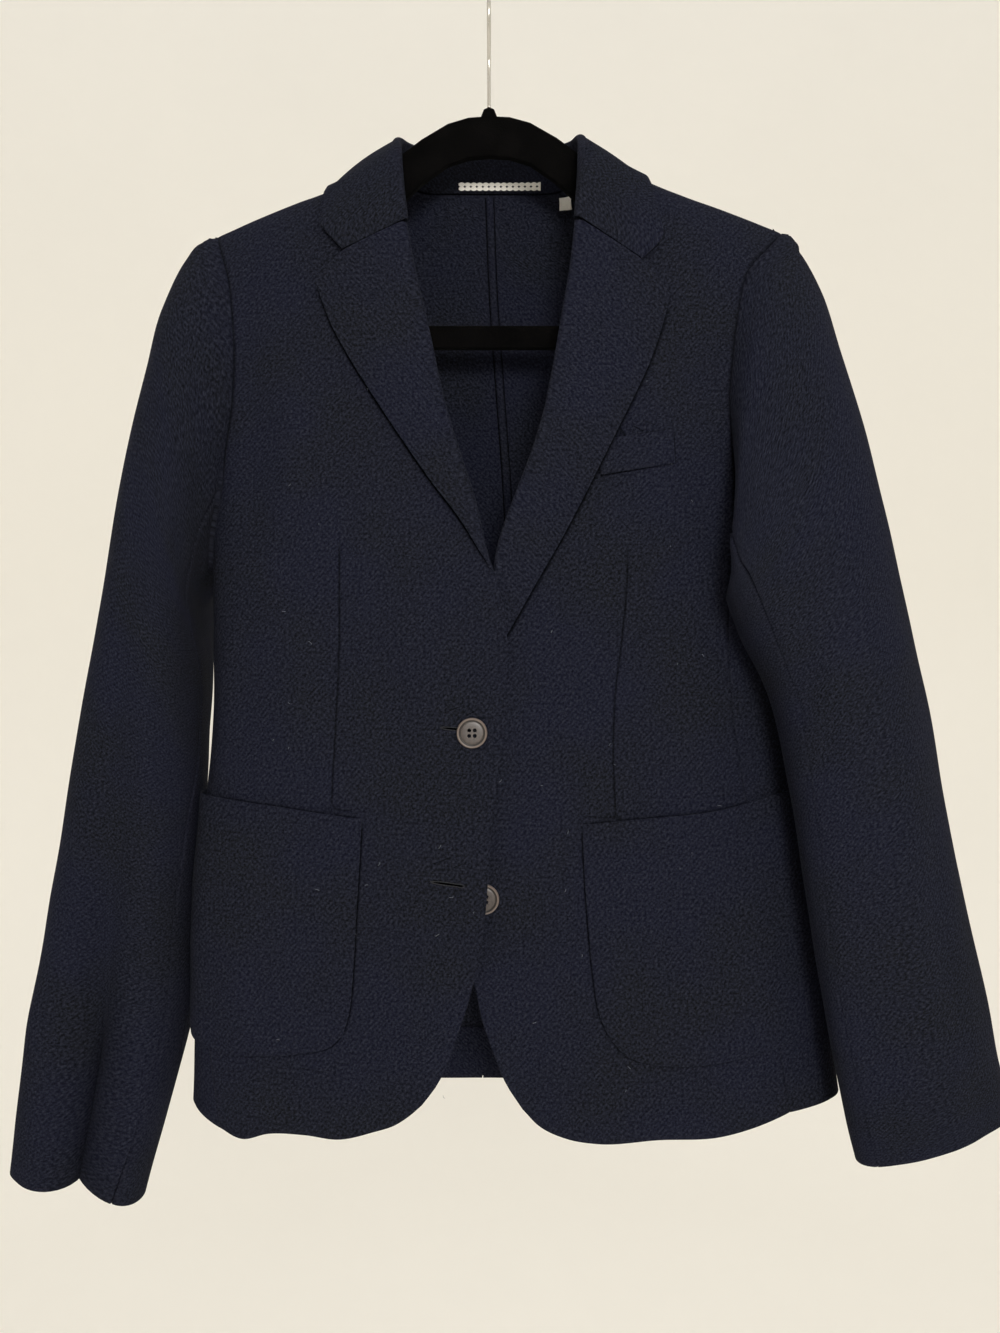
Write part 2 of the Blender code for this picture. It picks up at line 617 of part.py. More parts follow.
def off_body(points, margin):
    """Points nearer the body than margin are moved up off the shoulder, and out along y."""
    x, y, z = points[..., 0], points[..., 1], points[..., 2]
    line = np.where(y > 0, back_ridge(x), shoulder(x))
    full = np.where(y > 0, column(TORSO, "back", z), column(TORSO, "front", z))
    drop = RIDGE * (1 - np.sqrt((1 - (y / full) ** 2).clip(0)))
    z = np.where(np.abs(y) < RIDGE_TOP, np.maximum(z, line - drop + margin), z)
    middle, half = width(z)
    side = (1 - (np.abs(x - middle) / half) ** SLAB_POWER).clip(0) ** (1 / SLAB_POWER)
    full, _ = depth(x, z - margin, y > 0)
    under = (z < line + margin) & (np.abs(y) >= RIDGE_TOP)
    out = points.copy()
    out[..., 1] = np.where(under, np.sign(y) * np.maximum(np.abs(y), full * side + margin), y)
    out[..., 2] = z
    return out


STAND_TURN, STAND_EASE = 0.2, 0.3  # shares along it in which the stand turns from in to up


def collar_half(table, roll, neck, shares):
    """Half the collar's grid: the stand up from the neck seam, round the fold, and the fall.

    The fold is a half circle whose plane holds the stand's direction and the way out.
    """
    along = [leaf.along for leaf in table]

    def read(*names):
        return smooth(along, [[getattr(leaf, n) for n in names] for leaf in table], shares)

    seam = trace(neck_seam(roll, neck), shares)
    fold, edge = read("fold_x", "fold_y", "fold_z"), read("edge_x", "edge_y", "edge_z")
    angle = np.radians(read("out"))
    out = np.concatenate([np.cos(angle), np.sin(angle), 0 * angle], axis=-1)
    up = unit(fold - seam - out * ROLL)
    out = unit(out - up * (out * up).sum(-1, keepdims=True))
    front = 1 - smooth_step((shares - STAND_TURN) / STAND_EASE)[:, None]
    inward = np.array([-math.copysign(1, neck), 0, 0])
    seam = seam + unit(up * (1 - front) + inward * front) * FOLD_GAP
    hub = fold - up * ROLL
    stand = [seam + (hub - out * ROLL - seam) * s for s in (0.0, 0.5)]
    turn = [hub - out * ROLL * math.cos(b) + up * ROLL * math.sin(b)
            for b in np.linspace(0, math.pi, 5)]
    crown = read("crown")
    fall = [off_body(turn[-1] + (edge - turn[-1]) * s
                     + unit(out + up) * crown * math.sin(math.pi * s), COLLAR_CLEARANCE)
            for s in even(6)[1:]]
    return np.stack(stand + turn + fall, axis=1)


def build_collar():
    shares = np.interp(even(17), (0, 0.33, 0.75, 1), (0, 0.34, 0.66, 1))
    right = collar_half(COLLAR_RIGHT, ROLL_RIGHT, NECK_RIGHT_X, shares)
    left = collar_half(COLLAR_LEFT, ROLL_LEFT, NECK_LEFT_X, shares)
    sheet("collar", np.concatenate([right, left[-2::-1]]), CLOTH, WOOL)
    return right, left


# ---------------------------------------------------------------------------------------------
# Sleeves
# ---------------------------------------------------------------------------------------------

Section = namedtuple(
    "Section", "along outer_x outer_y outer_z inner_x inner_y inner_z front_x front_y back_x back_y"
)
SLEEVE_RIGHT = (
    Section(0.000, -183, 0, -163, -187, 0, -392, -170, -20, -166, 20),
    Section(0.015, -195, 0, -167, -189, 0, -395, -176, -28, -173, 28),
    Section(0.035, -204, 0, -179, -192, 0, -400, -184, -36, -182, 36),
    Section(0.085, -219, 0, -212, -196, 0, -408, -195, -46, -194, 45),
    Section(0.150, -228, 0, -253, -198, 0, -418, -204, -51, -203, 51),
    Section(0.230, -240, 0, -304, -197, 6, -432, -212, -53, -212, 53),
    Section(0.320, -251, 0, -364, -195.5, 12, -455, -218, -53, -222, 52),
    Section(0.440, -263, 0, -441, -195, 6, -498, -226, -52, -230, 48),
    Section(0.550, -275, -2, -509, -196.5, 8, -548, -234, -51, -240, 42),
    Section(0.700, -289, -5, -602, -202.5, 12, -626, -245, -50, -250, 33),
    Section(0.820, -300, -8, -674, -205, 10, -694, -256, -50, -259, 26),
    Section(0.920, -307, -10, -738, -218, -10, -757, -266, -49, -266, 20),
    Section(1.000, -312, -11, -784, -229, -20, -805, -274, -48, -273, 17),
)
SLEEVE_LEFT = (
    Section(0.000, 197, 0, -162, 196, 0, -396, 160, -20, 171, 20),
    Section(0.035, 209, 0, -174, 178, -26, -399, 162, -38, 190, 46),
    Section(0.085, 225.5, 0, -202, 163, -38, -403, 171, -50, 202, 54),
    Section(0.150, 239, 0, -246, 153, -44, -409, 183, -60, 213, 57),
    Section(0.230, 252.5, 0, -296, 153, -46, -417, 200, -65, 224, 56),
    Section(0.320, 263, 0, -356, 161, -46, -438, 217, -69, 238, 50),
    Section(0.440, 278, -3, -429, 181, -47, -482, 234, -70, 254, 38),
    Section(0.550, 293, -7, -498, 191, -49, -536, 246, -70, 268, 22),
    Section(0.700, 310.5, -14, -594, 203, -50, -614, 258, -69, 283, 10),
    Section(0.820, 323, -19, -662, 214, -50, -681, 269, -67, 292, 2),
    Section(0.920, 332, -22, -715, 225, -49, -734, 280, -64, 298, -4),
    Section(1.000, 340, -23, -744, 233, -48, -766, 288, -62, 303, -8),
)
Fold = namedtuple("Fold", "along degrees depth")
# The wearer's right sleeve's long fold, its place round the sleeve counted from the outer edge.
LONG_FOLD = (Fold(0.12, 72, 0), Fold(0.3, 78, 5), Fold(0.55, 84, 13), Fold(0.8, 92, 28),
             Fold(1.0, 110, 54))
LONG_FOLD_WIDTH = 26.0
SLEEVE_SEAM_HALF = 0.7  # half the gap at a sleeve seam, in degrees
SLEEVE_SEAM_EASE = 1.5  # added to it at the armhole, where the seams crowd
Seams = namedtuple("Seams", "along front back")
# Where the sleeve seams lie round the sleeve, in degrees from its outer edge by way of the front.
SEAMS_RIGHT = (Seams(0.0, 138, 236), Seams(0.25, 152, 236), Seams(0.42, 168, 236),
               Seams(0.6, 150, 236), Seams(1.0, 145, 236))
SEAMS_LEFT = (Seams(0.0, 138, 236), Seams(0.1, 138, 236), Seams(0.24, 139, 236),
              Seams(0.42, 144, 236), Seams(0.55, 146, 236), Seams(1.0, 145, 236))
SLEEVE_SQUARE = 0.88  # below 1, a section's corners are fuller than an ellipse's
SLEEVE_OUT = 120.0  # how far outside the armhole lies the point that its first ring moves to
HEAD_TURN = 0.6  # cosine of the angle either side of the shoulder in which it goes on outwards
HEAD_SLOPE = 0.5
ARMPIT_LIFT = 4.0  # how far the first ring stands off the side panel at the armpit
UNDERARM_TURN = 0.03  # share of the sleeve in which it moves out past the side panel
HEAD_FADE = 0.16  # share of the sleeve over which its form leaves the armhole's
SLEEVE_ROWS = (0, 0.012, 0.03, 0.055, 0.085, 0.12, 0.16, 0.21, 0.27, 0.34, 0.43, 0.52, 0.62,
               0.73, 0.84, 0.93, 1.0)
HEAD_EASE = 0.15  # share of the sleeve over which the seams' added gap dies away


def underarm(angle):
    """0 over the head of a sleeve, rising to 1 under the arm."""
    return smooth_step((-np.cos(angle) - 0.2) / 0.6)


def armhole_start(legs, table, armpit, angle):
    """The sleeve's first ring: the armhole, moved across its own opening by ARMHOLE_GAP."""
    front_leg, back_leg = legs
    front = armhole_half(front_leg, table, "front", armpit)
    back = armhole_half(back_leg, table, "back", armpit)
    share = np.where(angle <= math.pi, angle, 2 * math.pi - angle) / math.pi
    curve = np.where((angle <= math.pi)[..., None], along_body(front, share),
                     along_body(back, share))
    turn, z = curve[..., 0], curve[..., 1]
    place, normal = torso(turn, z), outward(turn, z)
    whole = np.concatenate([along_body(front, even(9)), along_body(back, even(9))])
    middle = torso(whole[:, 0], whole[:, 1]).mean(axis=0)
    middle[0] += math.copysign(SLEEVE_OUT, middle[0])
    across = middle - place
    across = unit(across - normal * (across * normal).sum(-1, keepdims=True))
    tip = ((np.cos(angle) - HEAD_TURN) / (1 - HEAD_TURN)).clip(0, 1)[..., None]
    over = np.array([math.copysign(1, middle[0]), 0, -HEAD_SLOPE])
    away = unit(across * (1 - tip) + over * tip) * ARMHOLE_GAP
    return place + away + normal * underarm(angle)[..., None] * ARMPIT_LIFT


def clear_of_body(points, margin):
    """Points inside the torso, enlarged by margin, are scaled out from its middle to its side."""
    x, y, z = points[..., 0], points[..., 1], points[..., 2]
    middle, half = width(z)
    full, _ = depth(x, z, y > 0)
    across = np.abs(x - middle) / (half + margin)
    through = np.abs(y) / (full + margin + 1e-6)
    size = (across**SLAB_POWER + through**SLAB_POWER) ** (1 / SLAB_POWER)
    scale = np.where(size < 1, 1 / np.maximum(size, 0.3), 1.0)
    out = points.copy()
    out[..., 0] = middle + (x - middle) * scale
    out[..., 1] = y * scale
    return out


def sleeve_points(table, legs, side, armpit, along, degrees, fold=None):
    """A sleeve's surface: rings through its outer, front, inner and back rails.

    Each quarter of a ring is an ellipse about the ring's middle between two rails. The first
    rings blend into the armhole.
    """
    shares = [row.along for row in table]

    def rail(*names):
        return smooth(shares, [[getattr(r, n) for n in names] for r in table], along)

    outer, inner = rail("outer_x", "outer_y", "outer_z"), rail("inner_x", "inner_y", "inner_z")
    level = (outer[..., 2:] + inner[..., 2:]) / 2
    front = np.concatenate([rail("front_x", "front_y"), level], axis=-1)
    back = np.concatenate([rail("back_x", "back_y"), level], axis=-1)
    hub = (outer + inner + front + back) / 4

    def ring(hub, outer, front, inner, back, angle):
        c, s = np.cos(angle)[..., None], np.sin(angle)[..., None]
        to_side = np.where(c > 0, outer - hub, inner - hub) * np.abs(c) ** SLEEVE_SQUARE
        return hub + to_side + np.where(s > 0, front - hub, back - hub) * np.abs(s) ** SLEEVE_SQUARE

    angle = np.radians(degrees)
    points = ring(hub, outer, front, inner, back, angle)
    if fold:
        turn = smooth([f.along for f in fold], [f.degrees for f in fold], along)
        deep = smooth([f.along for f in fold], [f.depth for f in fold], along)
        trough = deep * np.exp(-(((degrees - turn) / LONG_FOLD_WIDTH) ** 2))
        points = points + unit(hub - points) * trough[..., None]
    first = [v[:1] if v.shape[0] > 1 else v for v in (hub, outer, front, inner, back)]
    start = armhole_start(legs, side, armpit, angle)
    begin = underarm(angle) * ARMPIT_LIFT / SLEEVE_CLEARANCE
    lift = begin + (1 - begin) * np.sin(np.clip(along / UNDERARM_TURN, 0, 1) * math.pi / 2)
    fade = np.clip(1 - along / HEAD_FADE, 0, 1)[..., None] ** 2
    head = ring(*[np.broadcast_to(v, hub.shape) for v in first], angle)
    points = points + (start - head) * fade
    return clear_of_body(points, SLEEVE_CLEARANCE * lift)


def build_sleeve(hand, table, legs, side, armpit, seams, fold=None):
    along = np.array(SLEEVE_ROWS)[:, None]
    front = smooth([s.along for s in seams], [s.front for s in seams], along)
    back = smooth([s.along for s in seams], [s.back for s in seams], along)
    half = SLEEVE_SEAM_HALF + SLEEVE_SEAM_EASE * np.exp(-along / HEAD_EASE)
    upper = (back - 360 + half) + (front - back + 360 - 2 * half) * even(18)[None, :]
    under = (front + half) + (back - front - 2 * half) * even(10)[None, :]
    for name, degrees in (("sleeve_upper_", upper % 360), ("sleeve_under_", under)):
        spread = np.broadcast_to(along, degrees.shape)
        grid = sleeve_points(table, legs, side, armpit, spread, degrees, fold)
        sheet(name + hand, grid, CLOTH, WOOL)


# ---------------------------------------------------------------------------------------------
# What lies on the panels
# ---------------------------------------------------------------------------------------------

Pocket = namedtuple("Pocket", "inner bottom top outer")
# Each pocket's sides: (x, z) points on the front, then (turn in degrees, z) round the side.
POCKET_RIGHT = Pocket(
    inner=((-93, -691), (-89, -678), (-86.5, -655), (-84.5, -620), (-82.5, -585), (-81, -553)),
    bottom=((-93, -691), (-101, -698.5), (-121, -703.5), (-150, -706.5), (-174, -706)),
    top=((-81, -553), (-108, -549.5), (-134, -546), (-159, -543), (-180, -540.5)),
    outer=((-98, -694), (-105, -682), (-108, -650), (-110, -600), (-111, -539)),
)
POCKET_LEFT = Pocket(
    inner=((77, -692), (71, -678), (67, -655), (64, -625), (61.5, -590), (60, -556.5)),
    bottom=((77, -692), (88, -703.5), (110, -710), (136, -710.6), (162, -706.7), (184, -701.6)),
    top=((60, -556.5), (97, -553), (136, -549.5), (162, -545), (184, -539)),
    outer=((72, -692), (82, -676), (88, -650), (92, -600), (94, -534)),
)


WRAP_FROM, WRAP_EASE = 0.9, 0.08  # sine of the turn from which a pocket wraps the side


def patch_pocket(name, pocket):
    outer = np.array(pocket.outer, float) * [math.pi / 180, 1]
    inner = seen(pocket.inner)
    bottom = np.concatenate([seen(pocket.bottom), outer[:1]])
    top = np.concatenate([seen(pocket.top), outer[-1:]])
    patch = coons(
        lambda t: along_body(inner, t),
        lambda t: along_body(outer, t),
        lambda s: along_body(bottom, s),
        lambda s: along_body(top, s),
        even(11),
        crowded(18, 1.3),
    )
    wrap = smooth_step((np.abs(np.sin(patch[..., 0])) - WRAP_FROM) / WRAP_EASE)
    sheet(name, on_body(patch, POCKET_LIFT + POCKET_WRAP * wrap), POCKET_CLOTH, WOOL)


def between(low, high, rows):
    """Rows of points from one line of points to another."""
    t = even(rows)[:, None, None]
    return low[None] * (1 - t) + high[None] * t


def build_welt():
    low, high = seen(WELT_BOTTOM), seen(WELT_TOP)
    bottom, top = along_body(low, even(6)), along_body(high, even(6))
    sheet("chest_welt", on_body(between(bottom, top, 3), POCKET_LIFT), POCKET_CLOTH, WOOL)


def build_trims():
    """The centre-back tape, the hem's turn-up and the label, all on the back's inner side."""
    z = np.linspace(BACK_NECK_Z - 2, BACK_HEM + TURN_UP + 1.5, 16)
    centre = np.array(CENTRE_BACK[::-1], float)
    path = seen(np.stack([smooth(centre[:, 1], centre[:, 0], z), z], axis=-1), True)
    path[:, 0] = round_back(path[:, 0], 1)
    half = np.stack([gap_turn(path, TAPE_WIDTH / 2), 0 * z], axis=-1)
    tape = np.stack([path - half, path, path + half], axis=1)
    sheet("centre_back_tape", on_body(tape, -TRIM_LIFT), TRIM, WOOL)

    turn = np.radians(np.linspace(180 - HEM_REACH, 180 + HEM_REACH, 15))
    rise = (SIDE_HEM - BACK_HEM) * np.abs((turn - math.pi) / math.radians(HEM_REACH)) ** HEM_CURL
    low = np.stack([turn, BACK_HEM + 1 + rise], axis=-1)
    sheet("back_hem", on_body(between(low, low + [0, TURN_UP - 1], 4), -TRIM_LIFT), TRIM, WOOL)

    low = along_body(seen(LABEL_LOW, True), even(4))
    high = along_body(seen(LABEL_HIGH, True), even(4))
    sheet("size_label", on_body(between(low, high, 3), -TRIM_LIFT - LABEL_EASE), TRIM, LABEL)


def loop_tape(collar_right, collar_left):
    """The tape on the stand, between the neck seam and the fold, moved towards the neck."""
    stand = np.concatenate([collar_right, collar_left[-2::-1]])[:, :3]
    stand = stand[np.abs(stand[:, 0, 0]) < NECK_LEFT_X - 4]
    x = stand[:, 0, 0]
    at = np.linspace(*LOOP_SPAN, 9)
    rows = []
    for height in (LOOP_LOW, LOOP_HIGH):
        share = (height - stand[:, 0, 2]) / (stand[:, 2, 2] - stand[:, 0, 2])
        line = stand[:, 0] + (stand[:, 2] - stand[:, 0]) * share[:, None]
        rows.append(np.stack([np.interp(at, x, line[:, k]) for k in range(3)], axis=-1))
    grid = between(rows[0], rows[1], 3)
    grid[..., 1] -= TRIM_LIFT + LOOP_EASE
    sheet("loop_tape", grid, TRIM, TAPE)


# ---------------------------------------------------------------------------------------------
# Buttons
# ---------------------------------------------------------------------------------------------


def button(name, seat):
    """A turned disc with a rim and a dished face, cut by four holes, its back on the seat."""
    r, h = BUTTON_RADIUS, BUTTON_HEIGHT
    rim, dish = BUTTON_RIM, BUTTON_DISH
    profile = ((0, 0), (r - 1.2, 0), (r, 1.2), (r, h - 0.8), (r - 0.6, h), (r - rim, h),
               (r - rim - 0.8, h - dish), (0, h - dish))
    mesh = bpy.data.meshes.new(name)
    points = [(x * MM, 0, z * MM) for x, z in profile[::-1]]
    mesh.from_pydata(points, [(i, i + 1) for i in range(len(points) - 1)], [])
    made = place(name, mesh, BUTTON)
    turned = made.modifiers.new("turned", "SCREW")
    turned.steps = turned.render_steps = BUTTON_SIDES
    turned.use_merge_vertices = True
    turned.merge_threshold = 0.00005
    for k in range(4):
        x = (k % 2 - 0.5) * BUTTON_HOLE_SPACING * MM
        y = (k // 2 - 0.5) * BUTTON_HOLE_SPACING * MM
        bpy.ops.mesh.primitive_cylinder_add(
            vertices=8, radius=BUTTON_HOLE_RADIUS * MM, depth=20 * MM, location=(x, y, 0))
        cutter = bpy.context.object
        cutter.name = f"cutter_{name}_{k}"
        cutter.hide_render = True
        cutter.display_type = "WIRE"
        for held in cutter.users_collection:
            held.objects.unlink(cutter)
        cutters.objects.link(cutter)
        cutter.parent = made
        cut = made.modifiers.new(f"hole_{k}", "BOOLEAN")
        cut.object = cutter
        cut.operation = "DIFFERENCE"
    made.location = [v * MM for v in seat]
    made.rotation_euler = (math.pi / 2, 0, 0)


def build_buttons():
    for name, (x, z), lift in (("button_top", UPPER_BUTTON, OVERLAP_LIFT),
                               ("button_bottom", LOWER_BUTTON, 0.0)):
        seat = torso(turn_of(x, z), z)
        seat[1] -= lift + CLOTH / 2 + SEAM + SEAM_EASE
        button(name, seat)


# ---------------------------------------------------------------------------------------------
# Hanger
# ---------------------------------------------------------------------------------------------

# Half the hanger's outer and inner outlines, as (x, z) points from the middle out and down.
HANGER_TOP = ((0, -76), (3.5, -77.5), (5.5, -82.5), (14, -83), (28, -87), (46, -97.5),
              (58, -106.5), (66, -112.3), (76, -119), (90, -128), (107, -136.2), (126, -143.3),
              (147, -151.5), (165, -158.5))
HANGER_TIP = ((173, -170), (175, -177), (172, -183), (158, -203), (140, -224), (126, -236),
              (112, -239.8), (0, -239.8))
HANGER_HOLE_TOP = ((0, -109.5), (14, -110.5), (28, -115), (45, -127), (62, -143), (80, -152),
                   (126, -168), (152, -179))
HANGER_HOLE_END = ((157, -184), (155, -190), (136, -212), (122, -221.5), (108, -224.3), (0, -224.3))


def outline(half):
    """A closed outline from its right half, which runs from the middle top to the middle bottom."""
    half = np.array(half, float)
    return np.concatenate([half, (half * [-1, 1])[-2:0:-1]])


def tilted(points):
    """The hanger leans a little: its arms turn about the nub, while the bar stays level."""
    share = np.clip((points[:, 1] - BAR_TOP) / (NUB_TOP - BAR_TOP), 0, 1)[:, None]
    lean = HANGER_TILT * np.minimum(share * 3, 1)
    rise = points[:, :1] * np.tan(lean)
    return points + np.concatenate([0 * rise, rise], axis=1)


def seated(points):
    """The arms' upper edge, out past the neck, lies just under the shoulder seams."""
    x, z = points.T
    carried = (np.abs(x) > HANGER_FREE) & (z > shoulder(x) - HANGER_REACH)
    return np.stack([x, np.where(carried, shoulder(x) - HANGER_SEAT, z)], axis=-1)


def build_hanger():
    curve = bpy.data.curves.new("hanger_frame", "CURVE")
    curve.dimensions = "2D"
    curve.fill_mode = "BOTH"
    curve.bevel_depth = HANGER_EDGE * MM
    curve.bevel_resolution = 1
    curve.offset = -HANGER_EDGE * MM
    curve.extrude = (HANGER_THICKNESS / 2 - HANGER_EDGE) * MM
    for half in (HANGER_TOP + HANGER_TIP, HANGER_HOLE_TOP + HANGER_HOLE_END):
        points = seated(tilted(outline(half))) * MM
        spline = curve.splines.new("POLY")
        spline.points.add(len(points) - 1)
        spline.use_cyclic_u = True
        for knot, (x, z) in zip(spline.points, points):
            knot.co = (x, z, 0, 1)
    curve.materials.append(material(VELVET))
    frame = bpy.data.objects.new("hanger_frame", curve)
    frame.rotation_euler = (math.pi / 2, 0, 0)
    blazer.objects.link(frame)

    hub = WIRE_RADIUS - HOOK_RADIUS
    sweep = np.radians(np.linspace(205, -50, 26))
    ring = [(0, HOOK_RADIUS * math.cos(a), hub + HOOK_RADIUS * math.sin(a)) for a in sweep]
    shank = [(0, 0, NUB_TOP + SEAM), (0, 0, -60), (0, 0, -48), (0, -1.2, -43), (0, -4.5, -38.5),
             (0, -9, -34), (0, -13.2, -29.5)]
    wire = bpy.data.curves.new("hanger_hook", "CURVE")
    wire.dimensions = "3D"
    wire.bevel_depth = WIRE_RADIUS * MM
    wire.bevel_resolution = 2
    wire.use_fill_caps = True
    points = shank + ring
    spline = wire.splines.new("POLY")
    spline.points.add(len(points) - 1)
    for knot, place_at in zip(spline.points, points):
        knot.co = (*[v * MM for v in place_at], 1)
    wire.materials.append(material(STEEL))
    hook = bpy.data.objects.new("hanger_hook", wire)
    blazer.objects.link(hook)


# ---------------------------------------------------------------------------------------------
# The whole
# ---------------------------------------------------------------------------------------------

for old in list(bpy.data.objects):
    bpy.data.objects.remove(old)
blazer = bpy.data.collections.new("blazer")
cutters = bpy.data.collections.new("cutters")
bpy.context.scene.collection.children.link(blazer)
bpy.context.scene.collection.children.link(cutters)

build_body()
lapel("lapel_right", ROLL_RIGHT, LAPEL_EDGE_RIGHT, LAPEL_TOP_RIGHT, 1, overlap_lift, 1.0)
lapel("lapel_left", ROLL_LEFT, LAPEL_EDGE_LEFT, LAPEL_TOP_LEFT, -1,
      lambda patch: np.zeros(patch.shape[:2]), 0.42)
halves = build_collar()
build_sleeve("right", SLEEVE_RIGHT, (ARMHOLE_RIGHT_FRONT, ARMHOLE_RIGHT_BACK), SIDE_RIGHT,
             ARMPIT_RIGHT, SEAMS_RIGHT, LONG_FOLD)
build_sleeve("left", SLEEVE_LEFT, (ARMHOLE_LEFT_FRONT, ARMHOLE_LEFT_BACK), SIDE_LEFT,
             ARMPIT_LEFT, SEAMS_LEFT)
patch_pocket("pocket_right", POCKET_RIGHT)
patch_pocket("pocket_left", POCKET_LEFT)
build_welt()
build_trims()
loop_tape(*halves)
build_buttons()
build_hanger()
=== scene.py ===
"""A single breasted two-button blazer of navy wool twill on a flocked hanger.

Lengths inside the functions are millimetres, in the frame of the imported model: +Z up, the front
faces -Y, the wearer's left is +X, and the origin is the inside of the hook's top.
"""

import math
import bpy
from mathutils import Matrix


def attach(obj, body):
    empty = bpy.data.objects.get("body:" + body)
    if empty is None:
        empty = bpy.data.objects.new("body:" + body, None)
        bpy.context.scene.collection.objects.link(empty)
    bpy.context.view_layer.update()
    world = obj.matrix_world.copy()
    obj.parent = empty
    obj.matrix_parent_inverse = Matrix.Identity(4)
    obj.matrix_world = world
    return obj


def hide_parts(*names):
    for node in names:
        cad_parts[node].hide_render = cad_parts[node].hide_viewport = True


bl_info = {
    "name": "Blazer on a Hanger",
    "version": (1, 0, 0),
    "blender": (4, 5, 0),
    "location": "View3D > Sidebar > Blazer",
    "description": "Makes the cloth, trims, buttons and hanger of a blazer over its packed model",
    "category": "Object",
}

from collections import namedtuple

import bmesh
import bpy
import numpy as np
from mathutils import Vector

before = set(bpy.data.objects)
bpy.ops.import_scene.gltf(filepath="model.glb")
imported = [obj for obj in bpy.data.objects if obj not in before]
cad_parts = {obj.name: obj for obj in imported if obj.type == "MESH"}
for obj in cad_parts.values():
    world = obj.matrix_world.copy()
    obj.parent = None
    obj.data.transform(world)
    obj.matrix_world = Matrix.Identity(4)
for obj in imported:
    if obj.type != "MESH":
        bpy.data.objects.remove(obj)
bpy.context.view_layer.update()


def rows_of(kind, *rows):
    """A table: each row of values as that kind of named tuple."""
    return tuple(kind(*row) for row in rows)


MM = 0.001
# Driving sizes, in millimetres.
CLOTH = 1.8  # thickness of the wool
TRIM = 1.0  # thickness of tapes, the turn-up and the label
POCKET_CLOTH = 1.6
SEAM = 0.3  # gap between two pieces at a seam
SEAM_EASE = 0.2  # added at a seam that bends, so that the walls stay apart
ARMHOLE_GAP = 1.3  # room for the sleeve's turn at the armhole
SLAB_POWER = 3.0  # how square the body's cross-section is
RIDGE_GAP = 0.35  # half the gap of the shoulder seam, where the walls tilt
RIDGE = 45.0  # height over which the front and back close on the shoulder
RIDGE_TOP = 13.0  # how far either way from the shoulder seam counts as the shoulder's top
FOLD_GAP = 1.4  # from a front or neck edge to the piece that folds over it
ROLL = 2.6  # radius of the lapel's and collar's fold
COLLAR_CLEARANCE = 4.2  # from the body's middle surface to the collar's
OVERLAP_LIFT = 3.2  # how far the upper front stands off the lower one
POCKET_LIFT = CLOTH / 2 + SEAM + POCKET_CLOTH / 2 + 0.5
POCKET_WRAP = 0.8  # added to it where the pocket turns round the side
TRIM_LIFT = CLOTH / 2 + SEAM + TRIM / 2
SLEEVE_CLEARANCE = 6.2  # from the body's middle surface to the sleeve's

BUTTON_RADIUS = 9.7
BUTTON_HEIGHT = 3.4
BUTTON_HOLE_RADIUS = 1.25
BUTTON_HOLE_SPACING = 3.5
UPPER_BUTTON, LOWER_BUTTON = (-10.3, -497.7), (-2.8, -603.6)
# Where the upper front begins to stand off the lower one, as x and z, and how soon it is clear.
LAP_BEGIN, LAP_CLIMB = (-75.0, -360.0), (40.0, 60.0)
ROLL_LIFT = 3.2  # how much further the front edge stands off where the lapel begins to roll
ROLL_BEGIN, ROLL_REACH = (8.0, -415.0), (18.0, 42.0)
BUTTON_BUMP = 5.8  # how far the front edge rises over the button that it half covers
BUMP_REACH = (26.0, 42.0)

WIRE_RADIUS = 1.25
HOOK_RADIUS = 18.0
NUB_TOP = -76.0
HOOK_SWEEP = (205, -50)  # degrees round the hook, from its shank over the top to its tip
SHANK = ((0, 0, -60), (0, 0, -48), (0, -1.2, -43), (0, -4.5, -38.5), (0, -9, -34),
         (0, -13.2, -29.5))
Ring = namedtuple("Ring", "z left right front back")
TORSO = rows_of(
    Ring,
    (-80, -190, 203, 23, 36),
    (-180, -190, 203, 26, 38),
    (-250, -188, 200, 30, 38),
    (-330, -186, 196, 35, 39),
    (-410, -185, 195, 38, 40),
    (-500, -185.5, 200, 39, 40),
    (-560, -191, 210, 40, 41),
    (-615, -196, 219, 41, 42),
    (-690, -197, 229, 42, 42),
    (-760, -199, 237, 42, 42),
)

# The shoulder seams seen from the front, as x and z.
SHOULDER_X = (-200, -183, -156, -128.5, -107, -90, -76, -63, 64, 78, 92, 103.5, 130, 157, 184,
              210)
SHOULDER_Z = (-171.2, -164.6, -153.2, -142.3, -134.4, -125.6, -116.6, -107, -103, -112.6, -120.6,
              -126.6, -137.5, -147, -157, -166.8)
NECK_RIGHT_X, NECK_LEFT_X = -63.0, 64.0
NECK_CURL = 10  # how late the back neck seam climbs to the shoulder
NECK_SHARES = (0, 0.3, 0.55, 0.72, 0.84, 0.92, 0.97, 1)
NECK_SLOPE = 1.2  # how steeply the back's ridge climbs inside the neck
BACK_NECK_Z = -118.0

